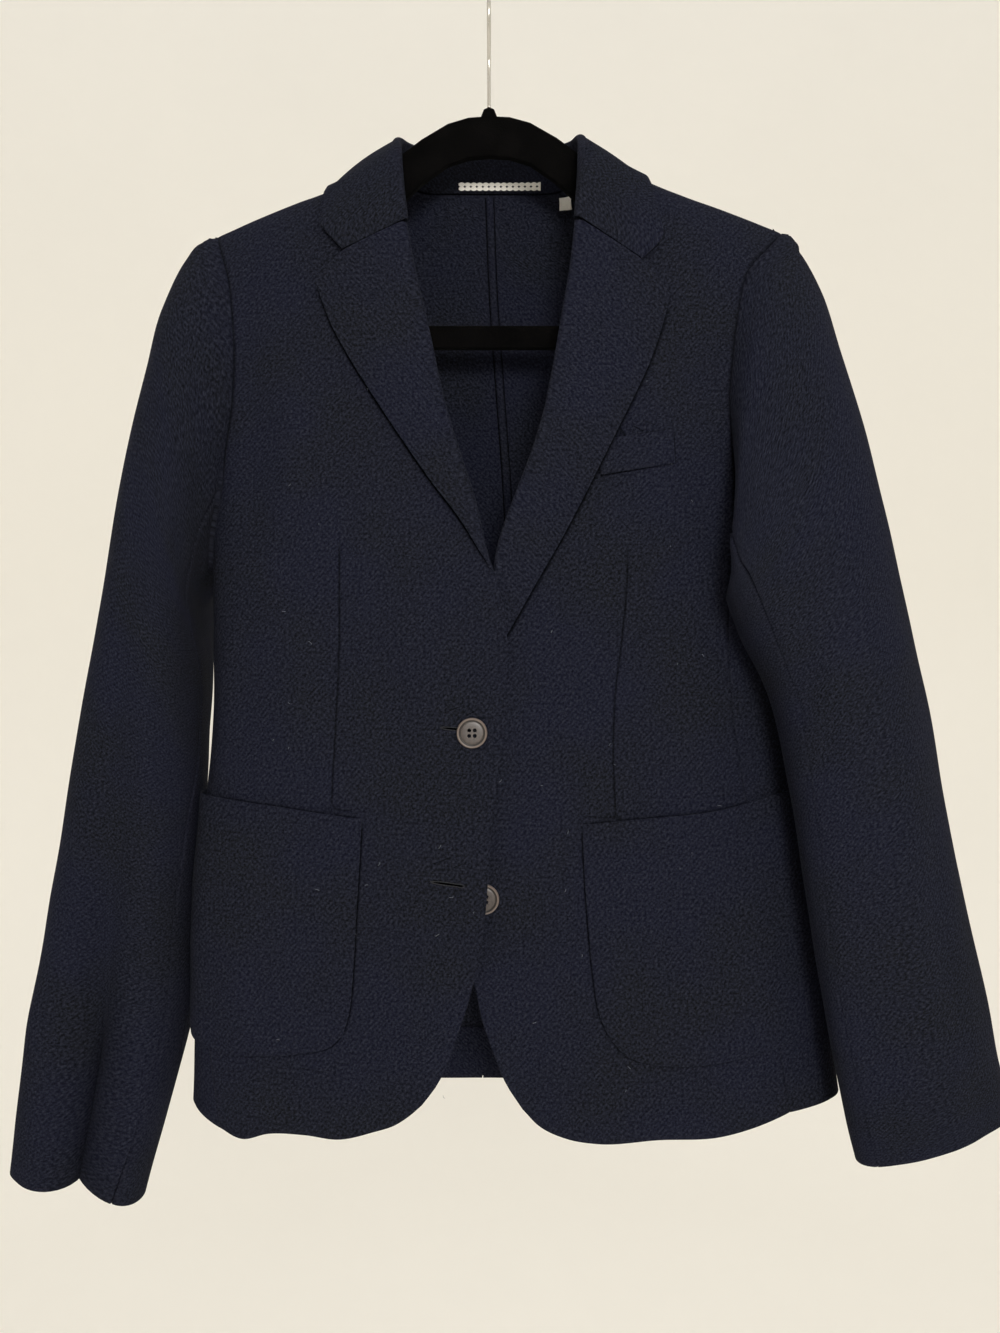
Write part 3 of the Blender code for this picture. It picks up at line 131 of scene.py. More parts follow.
# Curves on the body seen from the front, as (x, z) points.
ROLL_RIGHT = ((5, -401), (-2, -383), (-11, -354), (-22, -321), (-32, -288), (-43, -238),
              (-52, -199), (-57.5, -166), (-59, -142), (-62, -121))
ROLL_LEFT = ((3, -449), (4.5, -425), (6.5, -402), (9, -384), (13, -370), (22.5, -344),
             (31.5, -320), (39, -296), (45, -268), (52, -228), (58.5, -188), (61, -163),
             (62, -140), (63, -116))
GORGE_Z = -166.5  # where the roll line passes from the lapel to the collar
LAPEL_EDGE_RIGHT = ((6, -399), (-4, -384), (-18, -361), (-37, -336), (-57, -307), (-76, -278),
                    (-89, -257), (-102, -233), (-112.5, -204.5))
LAPEL_TOP_RIGHT = ((-58, -167.2), (-95, -185.8), (-112.5, -204.5))
LAPEL_EDGE_LEFT = ((4, -448), (12.5, -434), (31.8, -400), (45, -377), (61, -347), (78, -313),
                   (91, -287), (104, -259), (113, -233), (118, -212.5))
LAPEL_TOP_LEFT = ((60.8, -165.8), (100, -192), (118, -212.5))
FRONT_EDGE_RIGHT = ((-42, -734), (-33, -722), (-19, -688), (-10, -659), (-3, -624), (0, -590),
                    (2.4, -554), (6, -528), (9.4, -499), (11, -470), (12, -438), (8.5, -412),
                    (5, -401))
FRONT_EDGE_LEFT = ((22, -738), (11, -721), (3, -701), (-4, -681), (-8, -662), (-14, -640),
                   (-22, -604), (-27, -560), (-28, -500), (-16, -472), (-4, -457), (3, -449))
HEM_RIGHT = ((-42, -734), (-51, -742), (-60, -748), (-74, -753), (-95, -758), (-118, -756),
             (-142, -756.5), (-160, -761), (-176, -756))
HEM_LEFT = ((22, -738), (33, -749), (51, -757), (70, -760), (110, -758), (149, -757), (172, -752),
            (192, -744))
ARMHOLE_RIGHT_FRONT = ((-183.0, -164.6), (-179, -178), (-173.5, -195), (-169.5, -225),
                       (-168, -255), (-169.5, -285), (-174, -315), (-177.5, -345))
ARMHOLE_RIGHT_BACK = ((-183.0, -164.6), (-177, -182), (-169, -208), (-164, -250),
                      (-164, -295), (-168, -335), (-174, -362))
ARMHOLE_LEFT_FRONT = ((197.5, -161.6), (186, -176), (171, -194), (165, -217), (160, -251),
                      (157.5, -283), (159, -306), (160.5, -330), (160, -355))
ARMHOLE_LEFT_BACK = ((197.5, -161.6), (188, -178), (178, -205), (171, -250), (170, -295),
                     (174, -335), (181, -362))

# The side panels: how far round the body, in degrees from the front, their seams lie, and the
# height of the hem there.
SideSeam = namedtuple("SideSeam", "z front back")
SIDE_RIGHT = rows_of(SideSeam, (-350, -80, -107), (-450, -80, -113), (-540, -78, -120),
                     (-690, -71, -127), (-760, -62, -128))
SIDE_LEFT = rows_of(SideSeam, (-350, 55, 108), (-450, 52, 113), (-540, 53, 120),
                    (-700, 53, 127), (-760, 55, 128))
CORNER_DROP = 24.0  # from the last point of an armhole's leg down to the side panel's corner
ARMPIT_RIGHT, ARMPIT_LEFT = -392.0, -396.0
SIDE_HEM = -736.0
BACK_HEM = -751.0
CENTRE_BACK = ((0, -118), (3, -194), (7.5, -258), (13, -337), (16, -450), (8, -600), (-5, -752))
TURN_UP = 36.0
HEM_REACH = 49.0  # degrees either side of the centre back that the turn-up runs
TAPE_WIDTH = 6.5

WELT_BOTTOM = ((72, -332), (120.5, -324))
WELT_TOP = ((70, -309.5), (119.5, -302))
LABEL_LOW = ((50, -130), (60, -129))
LABEL_HIGH = ((50, -121), (60, -120))
LOOP_SPAN = (-22.0, 36.5)
LOOP_LOW, LOOP_HIGH = -116.0, -109.2
LOOP_EASE = 0.3
LABEL_EASE, LABEL_BOW = 1.6, 0.8  # how far the label hangs off the back, and how much it bows
# TAPE_EDGE_SHADE is how deep the tape's sewn edges press and how dark their painted shade is.
TAPE_BELLY, TAPE_EDGE_SHADE = 0.5, 1.3

# Steps over which slopes on the torso are measured, in radians round it and millimetres up.
TURN_STEP, HEIGHT_STEP, GAP_STEP = 0.004, 0.4, 0.01
SINE_LIMIT = 0.9998  # keeps a seen point off the body's very edge

# ---------------------------------------------------------------------------------------------
# Curves and surfaces
# ---------------------------------------------------------------------------------------------


def smooth(knots, values, at):
    """A cubic through the knots, whose slope at each is that of its two neighbours."""
    knots, values = np.asarray(knots, float), np.asarray(values, float)
    at = np.clip(at, knots[0], knots[-1])
    slope = np.gradient(values, knots, axis=0)
    i = np.clip(np.searchsorted(knots, at, side="right") - 1, 0, len(knots) - 2)
    span = knots[i + 1] - knots[i]
    t = (at - knots[i]) / span
    if values.ndim > 1:
        t, span = t[..., None], span[..., None]
    start = (1 + 2 * t) * (1 - t) ** 2 * values[i] + t * (1 - t) ** 2 * span * slope[i]
    return start + t * t * (3 - 2 * t) * values[i + 1] + t * t * (t - 1) * span * slope[i + 1]


def smooth_step(share):
    """0 below 0, 1 above 1 and a smooth climb between."""
    share = np.clip(share, 0, 1)
    return share * share * (3 - 2 * share)


def trace(points, at):
    """The points of a smooth curve through these, at shares of its length from 0 to 1."""
    points = np.asarray(points, float)
    steps = np.linalg.norm(np.diff(points, axis=0), axis=1)
    along = np.concatenate([[0.0], np.cumsum(steps)])
    return smooth(along / along[-1], points, np.asarray(at, float))


def column(table, name, at, knots="z"):
    """A table's column, read at heights (or shares) as a smooth function."""
    rows = sorted(table, key=lambda row: getattr(row, knots))
    return smooth([getattr(r, knots) for r in rows], [getattr(r, name) for r in rows], at)


def coons(inner, outer, bottom, top, rows, columns, cornered=()):
    """A patch between four (turn, z) curves, read at shares of their lengths on the body.

    It is the blend of both pairs of sides, less the blend of the corners. cornered names the
    curves that run straight from point to point: "bottom", "top" or both.
    """
    s, t = np.asarray(columns)[None, :, None], np.asarray(rows)[:, None, None]
    a, b = along_body(inner, rows)[:, None], along_body(outer, rows)[:, None]
    c = along_body(bottom, columns, "bottom" in cornered)[None]
    d = along_body(top, columns, "top" in cornered)[None]
    at_inner = (1 - t) * c[:, :1] + t * d[:, :1]
    at_outer = (1 - t) * c[:, -1:] + t * d[:, -1:]
    return (1 - s) * a + s * b + (1 - t) * c + t * d - ((1 - s) * at_inner + s * at_outer)


def shoulder(x):
    """Height of the shoulder seam over x, as the front sees it."""
    return smooth(SHOULDER_X, SHOULDER_Z, x)


def back_ridge(x):
    """The shoulder seam's height, climbing inside the neck, where the back stands away."""
    inside = np.minimum(x - NECK_RIGHT_X, NECK_LEFT_X - x)
    return shoulder(x) + NECK_SLOPE * np.maximum(inside, 0)


def width(z):
    """The body's middle and half width at a height."""
    left, right = column(TORSO, "left", z), column(TORSO, "right", z)
    return (left + right) / 2, (right - left) / 2


def ridge(drop):
    """A quarter circle: 0 on the shoulder seam, and 1 from RIDGE below it."""
    share = np.clip(drop / RIDGE, 0, 1)
    return np.sqrt(1 - (1 - share) ** 2)


def depth(x, z, behind):
    """How far the body's front or back stands from y = 0, before its sides round off."""
    line = np.where(behind, back_ridge(x), shoulder(x))
    close = ridge(line - z)
    full = np.where(behind, column(TORSO, "back", z), column(TORSO, "front", z))
    return full * close, RIDGE_GAP * (1 - close)


def torso(turn, z):
    """The body's middle surface: turn is the angle round it, 0 at the front and 90 at +X.

    Across, x follows the sine of the turn. The depth is the superellipse of SLAB_POWER.
    """
    turn, z = np.broadcast_arrays(np.asarray(turn, float), np.asarray(z, float))
    middle, half = width(z)
    across = np.sin(turn)
    behind = np.cos(turn) < 0
    x = middle + half * across
    side = (1 - np.abs(across) ** SLAB_POWER).clip(0) ** (1 / SLAB_POWER)
    full, gap = depth(x, z, behind)
    y = np.where(behind, 1.0, -1.0) * (full * side + gap)
    return np.stack([x, y, z], axis=-1)


def outward(turn, z):
    """The torso's normal, from its slopes along both parameters."""
    along = torso(turn + TURN_STEP, z) - torso(turn - TURN_STEP, z)
    up = torso(turn, z + HEIGHT_STEP) - torso(turn, z - HEIGHT_STEP)
    n = np.cross(along, up)
    return n / np.linalg.norm(n, axis=-1, keepdims=True)


def places_of(patch):
    """(turn, z) points as places on the torso."""
    return torso(patch[..., 0], patch[..., 1])


def facing(patch):
    """(turn, z) points as the x and z at which they are seen."""
    return places_of(patch)[..., ::2]


def turn_of(x, z, behind=False):
    """The angle round the body of a point seen from the front or from behind."""
    middle, half = width(z)
    angle = np.arcsin(np.clip((x - middle) / half, -SINE_LIMIT, SINE_LIMIT))
    return np.where(behind, np.sign(angle) * math.pi - angle, angle)


def seen(points, behind=False):
    """(x, z) points as (turn, z)."""
    points = np.asarray(points, float)
    return np.stack([turn_of(points[..., 0], points[..., 1], behind), points[..., 1]], axis=-1)


def on_body(patch, lift=0.0):
    """A (turn, z) patch on the torso, moved out by lift."""
    lift = np.broadcast_to(np.asarray(lift, float), patch.shape[:-1])
    return places_of(patch) + outward(patch[..., 0], patch[..., 1]) * lift[..., None]


def gap_turn(patch, gap):
    """A gap in millimetres as an angle round the body there."""
    turn, z = patch[..., 0], patch[..., 1]
    step = torso(turn + GAP_STEP, z) - torso(turn - GAP_STEP, z)
    return gap / (np.linalg.norm(step, axis=-1) / (2 * GAP_STEP))


def inset(patch, low=0.0, high=0.0):
    """A (turn, z) patch or curve with its turn moved by a gap at either end of its columns."""
    share = even(patch.shape[1])[None, :]
    out = patch.copy()
    out[..., 0] += gap_turn(patch, 1.0) * (low * (1 - share) + high * share)
    return out


def even(count):
    return np.linspace(0, 1, count)


def crowded(count, power=1.9):
    """Shares from 0 to 1 that crowd towards 1."""
    return 1 - (1 - even(count)) ** power


# ---------------------------------------------------------------------------------------------
# Patches of the body
# ---------------------------------------------------------------------------------------------


def overlap_lift(patch):
    """How far the upper front stands off the body: over the lower front, and over its button."""
    at = facing(patch)
    x, z = at[..., 0], at[..., 1]
    across = smooth_step((x - LAP_BEGIN[0]) / LAP_CLIMB[0])
    below = smooth_step((LAP_BEGIN[1] - z) / LAP_CLIMB[1])
    bump = (((at - LOWER_BUTTON) / BUMP_REACH) ** 2).sum(-1)
    roll = (((at - ROLL_BEGIN) / ROLL_REACH) ** 2).sum(-1)
    return OVERLAP_LIFT * across * below + BUTTON_BUMP * np.exp(-bump) + ROLL_LIFT * np.exp(-roll)


def side_turn(table, which, z):
    return np.radians(column(table, which, z))


def side_corner(table, which, leg):
    """The side panel's top corner, where an armhole's leg runs into its seam, as (turn, z)."""
    z = leg[-1][1] - CORNER_DROP
    return np.array([float(side_turn(table, which, z)), z])


def armhole_half(leg, table, which, armpit):
    """Half an armhole as (turn, z): the shoulder, the leg, the side panel's corner, the armpit."""
    corner = side_corner(table, which, leg)
    side = math.copysign(math.pi / 2, corner[0])
    middle = np.array([corner[0] * 0.5 + side * 0.5, corner[1] * 0.25 + armpit * 0.75])
    return np.concatenate([seen(leg, which == "back"), [corner, middle, [side, armpit]]])


def shares_of(curve):
    """The shares of a (turn, z) curve's length on the body at which its points lie."""
    steps = np.linalg.norm(np.diff(places_of(curve), axis=0), axis=1)
    return np.concatenate([[0.0], np.cumsum(steps)]) / steps.sum()


def along_body(curve, at, cornered=False):
    """Points of a (turn, z) curve at shares of its real length on the body, smooth or cornered."""
    share, at = shares_of(curve), np.asarray(at, float)
    if cornered:
        return np.stack([np.interp(at, share, curve[:, k]) for k in (0, 1)], axis=-1)
    return smooth(share, curve, at)


def meeting(shares, share):
    """Shares with the one nearest this one moved to it."""
    return np.where(np.arange(len(shares)) == np.abs(shares - share).argmin(), share, shares)


def side_seam(table, which, hem, corner, count=9):
    """A side seam as (turn, z), from the hem up to the side panel's corner."""
    z = hem + (corner[1] - hem) * (1 - (1 - even(count)) ** 2)
    return np.stack([side_turn(table, which, z), z], axis=-1)


def front_patch(roll, edge, hem, leg, table, neck, rows, columns):
    """A front as (turn, z): from the front edge and roll line to the side seam and armhole."""
    corner = side_corner(table, "front", leg)
    outer = np.concatenate([side_seam(table, "front", hem[-1][1], corner), seen(leg)[::-1]])
    top_x = np.linspace(neck, leg[0][0], 7)
    top = seen(np.stack([top_x, shoulder(top_x)], axis=-1))
    outer[-1] = top[-1]
    inner = np.concatenate([seen(edge + roll[1:]), top[:1]])
    bottom = seen(hem)
    bottom[-1] = outer[0]
    rows = meeting(rows, shares_of(outer)[len(outer) - len(leg) - 1])
    return coons(inner, outer, bottom, top, rows, columns, ("top",))


def round_back(turn, sign):
    """Turns that run on past 180 degrees on this side of the body, so that a patch has no jump."""
    return np.where(turn * sign < 0, turn + sign * 2 * math.pi, turn)


def back_neck(neck):
    """Half the back's neck edge as (x, z), from the centre back to the shoulder seam."""
    share = np.array(NECK_SHARES)
    rise = (shoulder(np.float64(neck)) - BACK_NECK_Z) * share**NECK_CURL
    return np.stack([neck * share, BACK_NECK_Z + rise], axis=-1)


def back_patch(leg, table, neck, rows, columns):
    """Half the back as (turn, z): from the centre-back seam to the side seam and armhole."""
    sign = math.copysign(1, neck)
    corner = side_corner(table, "back", leg)
    outer = np.concatenate([side_seam(table, "back", SIDE_HEM, corner), seen(leg, True)[::-1]])
    inner = seen(CENTRE_BACK[::-1], True)
    over_x = np.linspace(neck, leg[0][0], 6)[1:]
    over = np.stack([over_x, shoulder(over_x)], axis=-1)
    top = seen(np.concatenate([back_neck(neck), over]), True)
    at_neck = shares_of(top)[len(NECK_SHARES) - 1]
    for curve in (outer, inner, top):
        curve[:, 0] = round_back(curve[:, 0], sign)
    inner[-1] = top[0]
    outer[-1] = top[-1]
    share = even(7)
    bottom_turn = inner[0, 0] + (outer[0, 0] - inner[0, 0]) * share
    bottom_z = inner[0, 1] + (outer[0, 1] - inner[0, 1]) * share**3
    bottom = np.stack([bottom_turn, bottom_z], axis=-1)
    rows = meeting(rows, shares_of(outer)[len(outer) - len(leg) - 1])
    share = even(columns // 2)
    columns = np.concatenate([share[:-1] * at_neck, at_neck + (1 - at_neck) * share])
    return coons(inner, outer, bottom, top, rows, columns, ("bottom", "top"))


def side_patch(front_leg, back_leg, table, armpit, hem, rows, columns):
    """A side panel as (turn, z), from its front seam round to its back seam."""
    front_corner = side_corner(table, "front", front_leg)
    back_corner = side_corner(table, "back", back_leg)
    front = side_seam(table, "front", hem, front_corner)
    back = side_seam(table, "back", SIDE_HEM, back_corner)
    front_half = armhole_half(front_leg, table, "front", armpit)[-3:]
    back_half = armhole_half(back_leg, table, "back", armpit)[-3:]
    top = np.concatenate([front_half, back_half[-2::-1]])
    share = even(5)
    bottom_turn = front[0, 0] + (back[0, 0] - front[0, 0]) * share
    bottom_z = hem + (SIDE_HEM - hem) * share**0.5
    bottom = np.stack([bottom_turn, bottom_z], axis=-1)
    return coons(front, back, bottom, top, rows, columns, ("bottom",))


Leaf = namedtuple("Leaf", "along out crown fold_x fold_y fold_z edge_x edge_y edge_z")
# The collar from the gorge to the centre back. out is the compass direction away from the neck
# there, in degrees from +X; crown is how far the fall bulges over the straight line to its edge.
COLLAR_RIGHT = rows_of(
    Leaf,
    (0.00, -90, 0, -53.2, -27.5, -163.6, -95.0, -30.0, -184.0),
    (0.10, -92, 0, -54.2, -26.5, -155.0, -108.5, -28.0, -168.0),
    (0.22, -100, 1, -56.2, -23.0, -140.0, -109.5, -24.5, -157.0),
    (0.36, -140, 3, -59.2, -16.5, -113.5, -108.5, -14.0, -143.0),
    (0.48, -180, 2, -61.5, 2.0, -95.5, -106.0, 2.0, -130.0),
    (0.60, -215, 3, -56.0, 20.0, -90.0, -101.0, 26.0, -136.0),
    (0.74, -245, 3, -42.0, 33.0, -88.0, -72.0, 41.0, -140.0),
    (0.87, -260, 1, -22.0, 37.5, -86.0, -36.0, 45.0, -142.0),
    (1.00, -270, 1, 0.0, 38.6, -85.0, 0.0, 46.0, -143.0),
)
COLLAR_LEFT = rows_of(
    Leaf,
    (0.00, -90, 0, 56.6, -27.5, -162.4, 100.0, -30.0, -190.2),
    (0.10, -88, 0, 57.2, -26.5, -153.0, 113.0, -28.0, -176.0),
    (0.22, -80, 1, 58.6, -23.0, -138.0, 111.0, -24.5, -160.0),
    (0.36, -40, 3, 60.8, -16.5, -111.0, 107.0, -14.0, -138.0),
    (0.48, 0, 0.5, 61.5, 2.0, -93.5, 103.0, 2.0, -123.0),
    (0.60, 35, 2, 57.0, 20.0, -88.5, 99.0, 26.0, -131.0),
    (0.74, 65, 2, 43.0, 33.0, -86.0, 72.0, 41.0, -138.0),
    (0.87, 80, 1, 22.0, 37.5, -85.0, 36.0, 45.0, -142.0),
    (1.00, 90, 1, 0.0, 38.6, -85.0, 0.0, 46.0, -143.0),
)


def unit(v):
    return v / np.linalg.norm(v, axis=-1, keepdims=True)


def neck_seam(roll, neck):
    """The seam that joins the collar to one side, from the gorge to the centre back."""
    front = seen([p for p in roll if p[1] > GORGE_Z])
    back = seen(back_neck(neck)[::-1], True)
    return np.concatenate([places_of(front), places_of(back)])


def off_body(points, margin):
    """Points nearer the body than margin are moved up off the shoulder, and out along y."""
    x, y, z = points[..., 0], points[..., 1], points[..., 2]
    line = np.where(y > 0, back_ridge(x), shoulder(x))
    full = np.where(y > 0, column(TORSO, "back", z), column(TORSO, "front", z))
    drop = RIDGE * (1 - np.sqrt((1 - (y / full) ** 2).clip(0)))
    z = np.where(np.abs(y) < RIDGE_TOP, np.maximum(z, line - drop + margin), z)
    middle, half = width(z)
    side = (1 - (np.abs(x - middle) / half) ** SLAB_POWER).clip(0) ** (1 / SLAB_POWER)
    full, _ = depth(x, z - margin, y > 0)
    under = (z < line + margin) & (np.abs(y) >= RIDGE_TOP)
    out = points.copy()
    out[..., 1] = np.where(under, np.sign(y) * np.maximum(np.abs(y), full * side + margin), y)
    out[..., 2] = z
    return out


Section = namedtuple(
    "Section", "along outer_x outer_y outer_z inner_x inner_y inner_z front_x front_y back_x back_y"
)
SLEEVE_RIGHT = rows_of(
    Section,
    (0.000, -183, 0, -163, -187, 0, -392, -170, -20, -166, 20),
    (0.015, -195, 0, -167, -189, 0, -395, -176, -28, -173, 28),
    (0.035, -204, 0, -179, -192, 0, -400, -184, -36, -182, 36),
    (0.085, -219, 0, -212, -196, 0, -408, -195, -46, -194, 45),
    (0.150, -228, 0, -253, -198, 0, -418, -204, -51, -203, 51),
    (0.230, -240, 0, -304, -197, 6, -432, -212, -53, -212, 53),
    (0.320, -251, 0, -364, -195.5, 12, -455, -218, -53, -222, 52),
    (0.440, -263, 0, -441, -195, 6, -498, -226, -52, -230, 48),
    (0.550, -275, -2, -509, -196.5, 8, -548, -234, -51, -240, 42),
    (0.700, -289, -5, -602, -202.5, 12, -626, -245, -50, -250, 33),
    (0.820, -300, -8, -674, -205, 10, -694, -256, -50, -259, 26),
    (0.920, -307, -10, -738, -218, -10, -757, -266, -49, -266, 20),
    (1.000, -312, -11, -784, -229, -20, -805, -274, -48, -273, 17),
)
SLEEVE_LEFT = rows_of(
    Section,
    (0.000, 197, 0, -162, 196, 0, -396, 160, -20, 171, 20),
    (0.035, 209, 0, -174, 178, -26, -399, 162, -38, 190, 46),
    (0.085, 225.5, 0, -202, 163, -38, -403, 171, -50, 202, 54),
    (0.150, 239, 0, -246, 153, -44, -409, 183, -60, 213, 57),
    (0.230, 252.5, 0, -296, 153, -46, -417, 200, -65, 224, 56),
    (0.320, 263, 0, -356, 161, -46, -438, 217, -69, 238, 50),
    (0.440, 278, -3, -429, 181, -47, -482, 234, -70, 254, 38),
    (0.550, 293, -7, -498, 191, -49, -536, 246, -70, 268, 22),
    (0.700, 310.5, -14, -594, 203, -50, -614, 258, -69, 283, 10),
    (0.820, 323, -19, -662, 214, -50, -681, 269, -67, 292, 2),
    (0.920, 332, -22, -715, 225, -49, -734, 280, -64, 298, -4),
    (1.000, 340, -23, -744, 233, -48, -766, 288, -62, 303, -8),
)
Fold = namedtuple("Fold", "along degrees depth")
# The wearer's right sleeve's long fold, its place round the sleeve counted from the outer edge.
LONG_FOLD = rows_of(Fold, (0.12, 72, 0), (0.3, 78, 5), (0.55, 84, 13), (0.8, 92, 28),
                    (1.0, 110, 54))
LONG_FOLD_WIDTH = 26.0
SLEEVE_SEAM_HALF = 0.7  # half the gap at a sleeve seam, in degrees
SLEEVE_SEAM_EASE = 1.5  # added to it at the armhole, where the seams crowd
HEAD_EASE = 0.15  # share of the sleeve by which most of that ease is gone
# The seam allowance round the armhole: how far each line lies across the seam, and how deep.
TURNED_IN = ((-6.0, 2.6), (-1.0, 2.4), (ARMHOLE_GAP, 1.5))
Seams = namedtuple("Seams", "along front back")
# Where the sleeve seams lie round the sleeve, in degrees from its outer edge by way of the front.
SEAMS_RIGHT = rows_of(Seams, (0.0, 138, 236), (0.25, 152, 236), (0.42, 168, 236),
                      (0.6, 150, 236), (1.0, 145, 236))
SEAMS_LEFT = rows_of(Seams, (0.0, 138, 236), (0.1, 138, 236), (0.24, 139, 236),
                     (0.42, 144, 236), (0.55, 146, 236), (1.0, 145, 236))
SLEEVE_SQUARE = 0.88  # below 1, a section's corners are fuller than an ellipse's
SLEEVE_OUT = 120.0  # how far outside the armhole lies the point that its first ring moves to
HEAD_TURN = 0.6  # cosine of the angle either side of the shoulder in which it goes on outwards
HEAD_SLOPE = 0.5
ARMPIT_LIFT = 4.0  # how far the first ring stands off the side panel at the armpit
UNDERARM_TURN = 0.03  # share of the sleeve in which it moves out past the side panel
HEAD_FADE = 0.16  # share of the sleeve over which its form leaves the armhole's
HEAD_SHARE = 0.12  # share of the sleeve whose rows are closer together


def underarm(angle):
    """1 on the inner side of a sleeve and 0 on its outer side, with a smooth step between."""
    return smooth_step((-np.cos(angle) - 0.2) / 0.6)


def armhole_start(legs, table, armpit, angle, gap=ARMHOLE_GAP, sink=0.0):
    """The sleeve's first ring: the armhole, moved across its own opening by the gap.

    The angle is in radians from the outer side by way of the front; below 0 it reads as 0, the
    shoulder. With sink, the ring lies that far under the body, as the seam allowance does.
    """
    front_leg, back_leg = legs
    front = armhole_half(front_leg, table, "front", armpit)
    back = armhole_half(back_leg, table, "back", armpit)
    share = np.where(angle <= math.pi, angle, 2 * math.pi - angle) / math.pi
    curve = np.where((angle <= math.pi)[..., None], along_body(front, share),
                     along_body(back, share))
    place, normal = places_of(curve), outward(curve[..., 0], curve[..., 1])
    whole = np.concatenate([along_body(front, even(9)), along_body(back, even(9))])
    middle = places_of(whole).mean(axis=0)
    middle[0] += math.copysign(SLEEVE_OUT, middle[0])
    across = middle - place
    across = unit(across - normal * (across * normal).sum(-1, keepdims=True))
    tip = ((np.cos(angle) - HEAD_TURN) / (1 - HEAD_TURN)).clip(0, 1)[..., None]
    over = np.array([math.copysign(1, middle[0]), 0, -HEAD_SLOPE])
    rise = underarm(angle)[..., None] * ARMPIT_LIFT * (gap > 0) - sink
    gap = np.where(gap < 0, gap * (1 - tip), gap)
    return place + unit(across * (1 - tip) + over * tip) * gap + normal * rise


def clear_of_body(points, margin):
    """Points inside the torso, enlarged by margin, are scaled out from its middle to its side."""
    x, y, z = points[..., 0], points[..., 1], points[..., 2]
    middle, half = width(z)
    full, _ = depth(x, z, y > 0)
    across = np.abs(x - middle) / (half + margin)
    through = np.abs(y) / (full + margin + 1e-6)
    size = (across**SLAB_POWER + through**SLAB_POWER) ** (1 / SLAB_POWER)
    scale = np.where(size < 1, 1 / np.maximum(size, 0.3), 1.0)
    out = points.copy()
    out[..., 0] = middle + (x - middle) * scale
    out[..., 1] = y * scale
    return out


Pocket = namedtuple("Pocket", "inner bottom top outer")
# Each pocket's sides: (x, z) points on the front, then (turn in degrees, z) round the side.
POCKET_RIGHT = Pocket(
    inner=((-93, -691), (-89, -678), (-86.5, -655), (-84.5, -620), (-82.5, -585), (-81, -553)),
    bottom=((-93, -691), (-101, -698.5), (-121, -703.5), (-150, -706.5), (-174, -706)),
    top=((-81, -553), (-108, -549.5), (-134, -546), (-159, -543), (-180, -540.5)),
    outer=((-98, -694), (-105, -682), (-108, -650), (-110, -600), (-111, -539)),
)
POCKET_LEFT = Pocket(
    inner=((77, -692), (71, -678), (67, -655), (64, -625), (61.5, -590), (60, -556.5)),
    bottom=((77, -692), (88, -703.5), (110, -710), (136, -710.6), (162, -706.7), (184, -701.6)),
    top=((60, -556.5), (97, -553), (136, -549.5), (162, -545), (184, -539)),
    outer=((72, -692), (82, -676), (88, -650), (92, -600), (94, -534)),
)


def between(low, high, rows):
    """Rows of points from one line of points to another."""
    t = even(rows)[:, None, None]
    return low[None] * (1 - t) + high[None] * t


# ---------------------------------------------------------------------------------------------
# Soft troughs and ridges of the hung cloth
# ---------------------------------------------------------------------------------------------

# A fold runs through its points; width is the half width of its bell shape and height its crest,
# negative for a trough. It fades in and out over its ends.
Crease = namedtuple("Crease", "points width height")

# Both buttonholes as (x, z) from the outer end to the eye by the front edge.
BUTTONHOLES = (((-30.5, -494.4), (-8.5, -496.6)), ((-36.5, -592.2), (-15.0, -594.4)))
HOLE_POINTS = 160
HOLE_WIDTH, EYE_WIDTH, EYE_REACH = 0.95, 0.8, 1.8  # half widths, and how long the eye is
THREAD = 0.32  # radius of the worked edge

# On the fronts and on the back, points are (x, z) as seen from the front.
FRONT_CREASES = rows_of(
    Crease,
    (((-160, -215), (-150, -285), (-154, -352), (-168, -410)), 11, -2.0),
    (((-134, -225), (-128, -300), (-138, -380)), 15, 1.3),
    (((-172, -400), (-170, -460), (-176, -530)), 9, 1.5),
    (((-120, -500), (-134, -560)), 15, -1.0),
    (((-72, -570), (-60, -640), (-66, -720)), 20, 1.4),
    (((-118, -600), (-130, -660), (-136, -745)), 16, -1.5),
    (((-160, -560), (-166, -640), (-158, -745)), 11, 1.2),
    (((-36, -498), (-80, -470), (-120, -458)), 10, -0.7),
    (((-30, -510), (-78, -524), (-112, -540)), 12, 0.7),
    (((148, -205), (136, -270), (134, -330), (148, -395)), 11, -1.6),
    (((118, -230), (112, -300), (118, -380)), 16, 1.1),
    (((122, -420), (134, -500), (140, -590)), 13, 1.8),
    (((156, -400), (160, -480), (166, -560), (160, -640)), 11, -1.6),
    (((40, -620), (46, -680), (40, -735)), 18, 1.3),
    (((112, -600), (118, -680), (112, -750)), 17, -1.3),
    (((168, -600), (176, -670), (182, -735)), 10, 1.2),
    (((26, -505), (70, -492), (108, -486)), 12, 0.6),
)
BACK_CREASES = rows_of(
    Crease,
    (((-150, -190), (-128, -270), (-132, -350), (-150, -430)), 13, -2.0),
    (((-112, -200), (-98, -290), (-104, -390)), 18, 1.6),
    (((148, -185), (130, -262), (136, -340), (156, -425)), 13, -1.9),
    (((114, -205), (104, -300), (112, -400)), 18, 1.4),
    (((-60, -420), (-72, -520), (-84, -640), (-80, -740)), 20, 1.8),
    (((-30, -480), (-26, -590), (-34, -735)), 15, -1.4),
    (((58, -430), (74, -540), (80, -650), (72, -742)), 20, 1.7),
    (((124, -440), (138, -540), (136, -640)), 13, -1.7),
    (((-130, -450), (-140, -550), (-134, -650)), 12, -1.5),
    (((-20, -452), (-70, -446), (-120, -456)), 9, -0.9),
    (((40, -462), (86, -452), (134, -464)), 9, -0.8),
)
